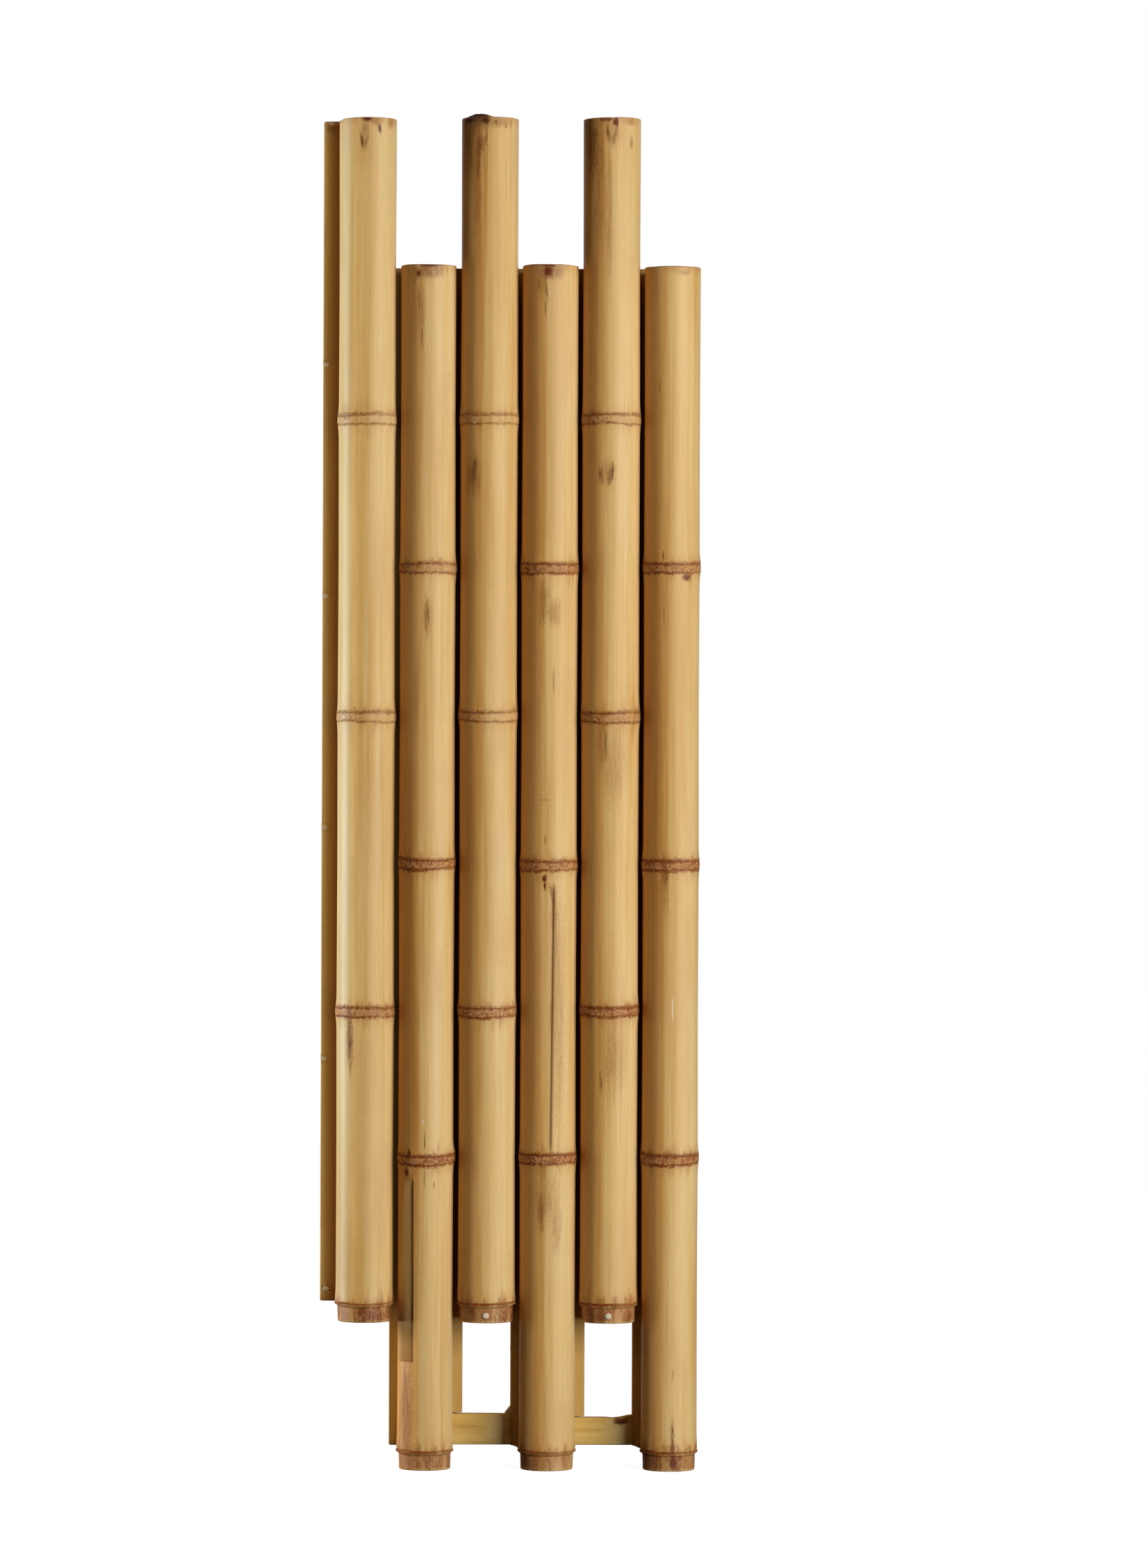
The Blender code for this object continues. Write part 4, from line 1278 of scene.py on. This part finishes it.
def make_rail(name):
    low, high = extent(name)
    right = high[0] + 2.0 * JOINT_GAP
    fine = [(low[0], low[0] + 1.2, 0.12), (right - 7.0, right, 0.2)]
    places = stations(low[0], right, 1.0, fine)
    from_right = right - places
    bottom = np.full_like(places, low[2] + 0.3)
    top = np.full_like(places, high[2])
    middle = (low[2] + high[2]) / 2.0
    # Painted light on the rail's right end, which lies in the shadow of the pipe beside it.
    scars = [
        (right + 2.0, middle, 22.0, 60.0, RAIL_PAINTED_LIGHT, 0.9),
        (low[0] + 8.0, high[2] - 5.0, 11.0, 1.6, STREAK_AND_SHADE_BROWN, 0.2),
    ]
    if name == KNOT["rail"]:
        top = top + KNOT["rise"] * smooth(from_right, 6.0, 0.5) - 0.25 * bell(from_right, 8.0, 1.6)
        knot = right - KNOT["from_right"]
        scars.append((knot, high[2] - 1.5, 5.8, 3.4, STAIN_RED, 1.0))
        scars.append((knot + 0.4, high[2] - 0.5, 5.6, 2.0, STREAK_AND_SHADE_BROWN, 0.9))
        # A painted highlight along the top edge where it rises over the knot.
        scars.append((knot + 0.6, high[2] + 0.1, 5.0, 1.2, RAIL_LIGHT, 0.8))
    options = dict(edge=0.45, end=0.25, crown=0.15, crown_power=4.0, rough=0.07, per_side=12)
    piece = plank(f"cross_{name}", "X", places, bottom, top, low[1], high[1], 120 + RAILS[name], options)
    material = plank_material(f"rail_bamboo_{RAILS[name]}", 80 + RAILS[name], 0, RAIL_COLOURS, 0.3, scars)
    hand_over(piece, name, material)


def make_batten(name, row):
    low, high = extent(name)
    ridges = [(low[0] + 31.0, 0.5), (low[0] + 108.0, 0.5)] if row == "lower" else [(low[0] + 64.0, 0.5)]
    fine = [(low[0], low[0] + 1.4, 0.14), (high[0] - 1.4, high[0], 0.14)]
    fine += [(place - 3.0, place + 3.0, 0.4) for place, _ in ridges]
    places = stations(low[0], high[0], 1.5, fine)
    bottom = low[2] + 0.15 * np.sin(places / 23.0)
    top = high[2] + 0.15 * np.sin(places / 17.0 + 1.0)
    options = dict(edge=0.8, end=0.7, crown=0.0, rough=0.08, ridges=ridges, per_side=10)
    piece = plank(f"cross_{name}", "X", places, bottom, top, low[1], high[1], 140 + len(row), options)
    drill(piece, [f"{row}_peg_{number}" for number in PIPE_NUMBERS], 0.12)
    material = plank_material(f"batten_bamboo_{row}", 70 + len(row), 0, BATTEN_COLOURS)
    hand_over(piece, name, material)


def make_flute():
    for number in PIPE_NUMBERS:
        pipe = make_pipe(number)
        hand_over(pipe, f"pipe_{number}", pipe_material(number))
        plug = cork_plug(f"cork_plug_{number}", f"tuning_plug_{number}", 300 + number)
        cork = cork_material(f"cork_{number}", 310 + number)
        hand_over(plug, f"tuning_plug_{number}", cork, f"plug_{number}")
        make_slat(number)
    for name in RAILS:
        make_rail(name)
    for row in ("lower", "upper"):
        make_batten(f"{row}_batten", row)
        for number in PIPE_NUMBERS:
            node = f"{row}_peg_{number}"
            peg = round_peg(f"batten_{node}", node, 400 + number, 0.15, 0.98, 0.2)
            wood = PEG_SEEN if node == "lower_peg_1" else PEG_HIDDEN
            material = peg_material(f"peg_wood_{row}_{number}", 420 + number, *wood)
            hand_over(peg, node, material)
    for number in (3, 5):
        node = f"stub_peg_{number}"
        peg = round_peg(f"foot_{node}", node, 440 + number, 0.15, 0.97, 0.35)
        material = peg_material(f"peg_wood_stub_{number}", 450 + number, *PEG_STUB)
        hand_over(peg, node, material)


# ---------------------------------------------------------------- stage, lights and camera


def aim(thing, target):
    direction = Vector(target) - thing.location
    thing.rotation_mode = "QUATERNION"
    thing.rotation_quaternion = direction.to_track_quat("-Z", "Y")


STAGE_RADIUS = 6.0
# The backdrop's glow changes between these distances from the flute's foot, in metres.
GLOW_NEAR = 0.15
GLOW_FAR = 1.6
# Softboxes: azimuth from the front in degrees, positive to the right, height, width and length in metres, and
# power in watts.
SOFTBOXES = {
    "key_softbox": (41.5, 0.42, 0.94, 1.00, 20.2),
    "left_softbox": (-95.0, 0.25, 0.54, 0.64, 22.5),
    "back_left": (-150.0, 0.42, 0.50, 1.00, 1.2),
    "back_right": (158.0, 0.42, 0.50, 1.00, 1.6),
}
SOFTBOX_DISTANCE = 1.40
SOFTBOX_TARGET = (0.0, 0.0, 0.35)
FILL_COLOUR = (1.0, 0.97, 0.93, 1.0)
FILL_STRENGTH = 0.012


def add_light(name, azimuth, height, width, tall, power):
    lamp = bpy.data.lights.new(name, "AREA")
    lamp.shape = "RECTANGLE"
    lamp.size = width
    lamp.size_y = tall
    lamp.energy = power
    thing = add_piece(name, lamp)
    around = math.radians(azimuth)
    thing.location = (SOFTBOX_DISTANCE * math.sin(around), -SOFTBOX_DISTANCE * math.cos(around), height)
    aim(thing, SOFTBOX_TARGET)
    thing.visible_camera = False


def backdrop_material(name, near, far, albedo):
    """Glows from near at the flute to far well away from it, so that the backdrop stays even."""
    g = Graph(name)
    away = g.length(g.node("TexCoord").outputs["Object"])
    glow = g.node("Emission")
    g.feed(glow.inputs["Strength"], g.remap(away, GLOW_NEAR, GLOW_FAR, near, far))
    cloth = g.node("BsdfDiffuse")
    g.feed(cloth.inputs["Color"], (albedo, albedo, albedo))
    both = g.node("AddShader")
    g.feed(both.inputs[0], glow.outputs[0])
    g.feed(both.inputs[1], cloth.outputs[0])
    output = g.node("OutputMaterial")
    g.feed(output.inputs[0], both.outputs[0])
    g.material.cycles.emission_sampling = "NONE"
    return g.material


def make_stage():
    turns = np.linspace(0.0, 2.0 * math.pi, 96, endpoint=False)
    circle = [(STAGE_RADIUS * math.cos(t), STAGE_RADIUS * math.sin(t), 0.0) for t in turns]
    floor_mesh = bpy.data.meshes.new("studio_floor")
    floor_mesh.from_pydata(circle, [], [list(range(len(circle)))])
    floor = add_piece("studio_floor", floor_mesh)
    floor.data.materials.append(backdrop_material("pale_floor", 0.92, 1.0, 0.40))
    levels = np.linspace(0.0, 0.5 * math.pi, 24)[:-1]
    points = []
    for v in levels:
        flat = STAGE_RADIUS * math.cos(v)
        points += [(flat * math.cos(t), flat * math.sin(t), STAGE_RADIUS * math.sin(v)) for t in turns]
    count = len(turns)
    faces = []
    for row in range(len(levels) - 1):
        for i in range(count):
            j = (i + 1) % count
            faces.append((row * count + i, row * count + j, (row + 1) * count + j, (row + 1) * count + i))
    top = (len(levels) - 1) * count
    faces.append([top + i for i in range(count)])
    dome_mesh = bpy.data.meshes.new("studio_dome")
    dome_mesh.from_pydata(points, [], faces)
    dome_mesh.shade_smooth()
    dome = add_piece("studio_dome", dome_mesh)
    dome.data.materials.append(backdrop_material("white_sweep", 1.0, 1.0, 0.0))
    for thing in (floor, dome):
        thing.visible_diffuse = False
        thing.visible_glossy = False
        thing.visible_shadow = False


def make_lights():
    for name, placed in SOFTBOXES.items():
        add_light(name, *placed)
    world = bpy.data.worlds.new("studio_fill")
    world.use_nodes = True
    fill = world.node_tree.nodes["Background"]
    fill.inputs["Color"].default_value = FILL_COLOUR
    fill.inputs["Strength"].default_value = FILL_STRENGTH
    bpy.context.scene.world = world


# The camera looks level at the row's middle. Metres, millimetres and degrees.
CAMERA_X = 0.0245
AIM_HEIGHT = 0.2651
CAMERA_DISTANCE = 2.5
LENS = 98.85
SENSOR = 24.0
ROLL = -0.21


def make_camera():
    low, high = extent("pipe_1")
    axis_y = (low[1] + high[1]) / 2.0 * MM
    lens = bpy.data.cameras.new("camera")
    lens.sensor_fit = "VERTICAL"
    lens.sensor_height = SENSOR
    lens.lens = LENS
    lens.clip_start = 0.05
    lens.clip_end = 50.0
    camera = add_piece("camera", lens)
    level = Matrix.Rotation(math.radians(90.0), 4, "X")
    rolled = Matrix.Rotation(math.radians(ROLL), 4, "Y")
    place = Matrix.Translation((CAMERA_X, axis_y - CAMERA_DISTANCE, AIM_HEIGHT))
    camera.matrix_world = place @ rolled @ level
    bpy.context.scene.camera = camera


make_flute()
make_stage()
make_lights()
make_camera()
scene = bpy.context.scene
scene.view_settings.view_transform = "Standard"
scene.view_settings.look = "None"
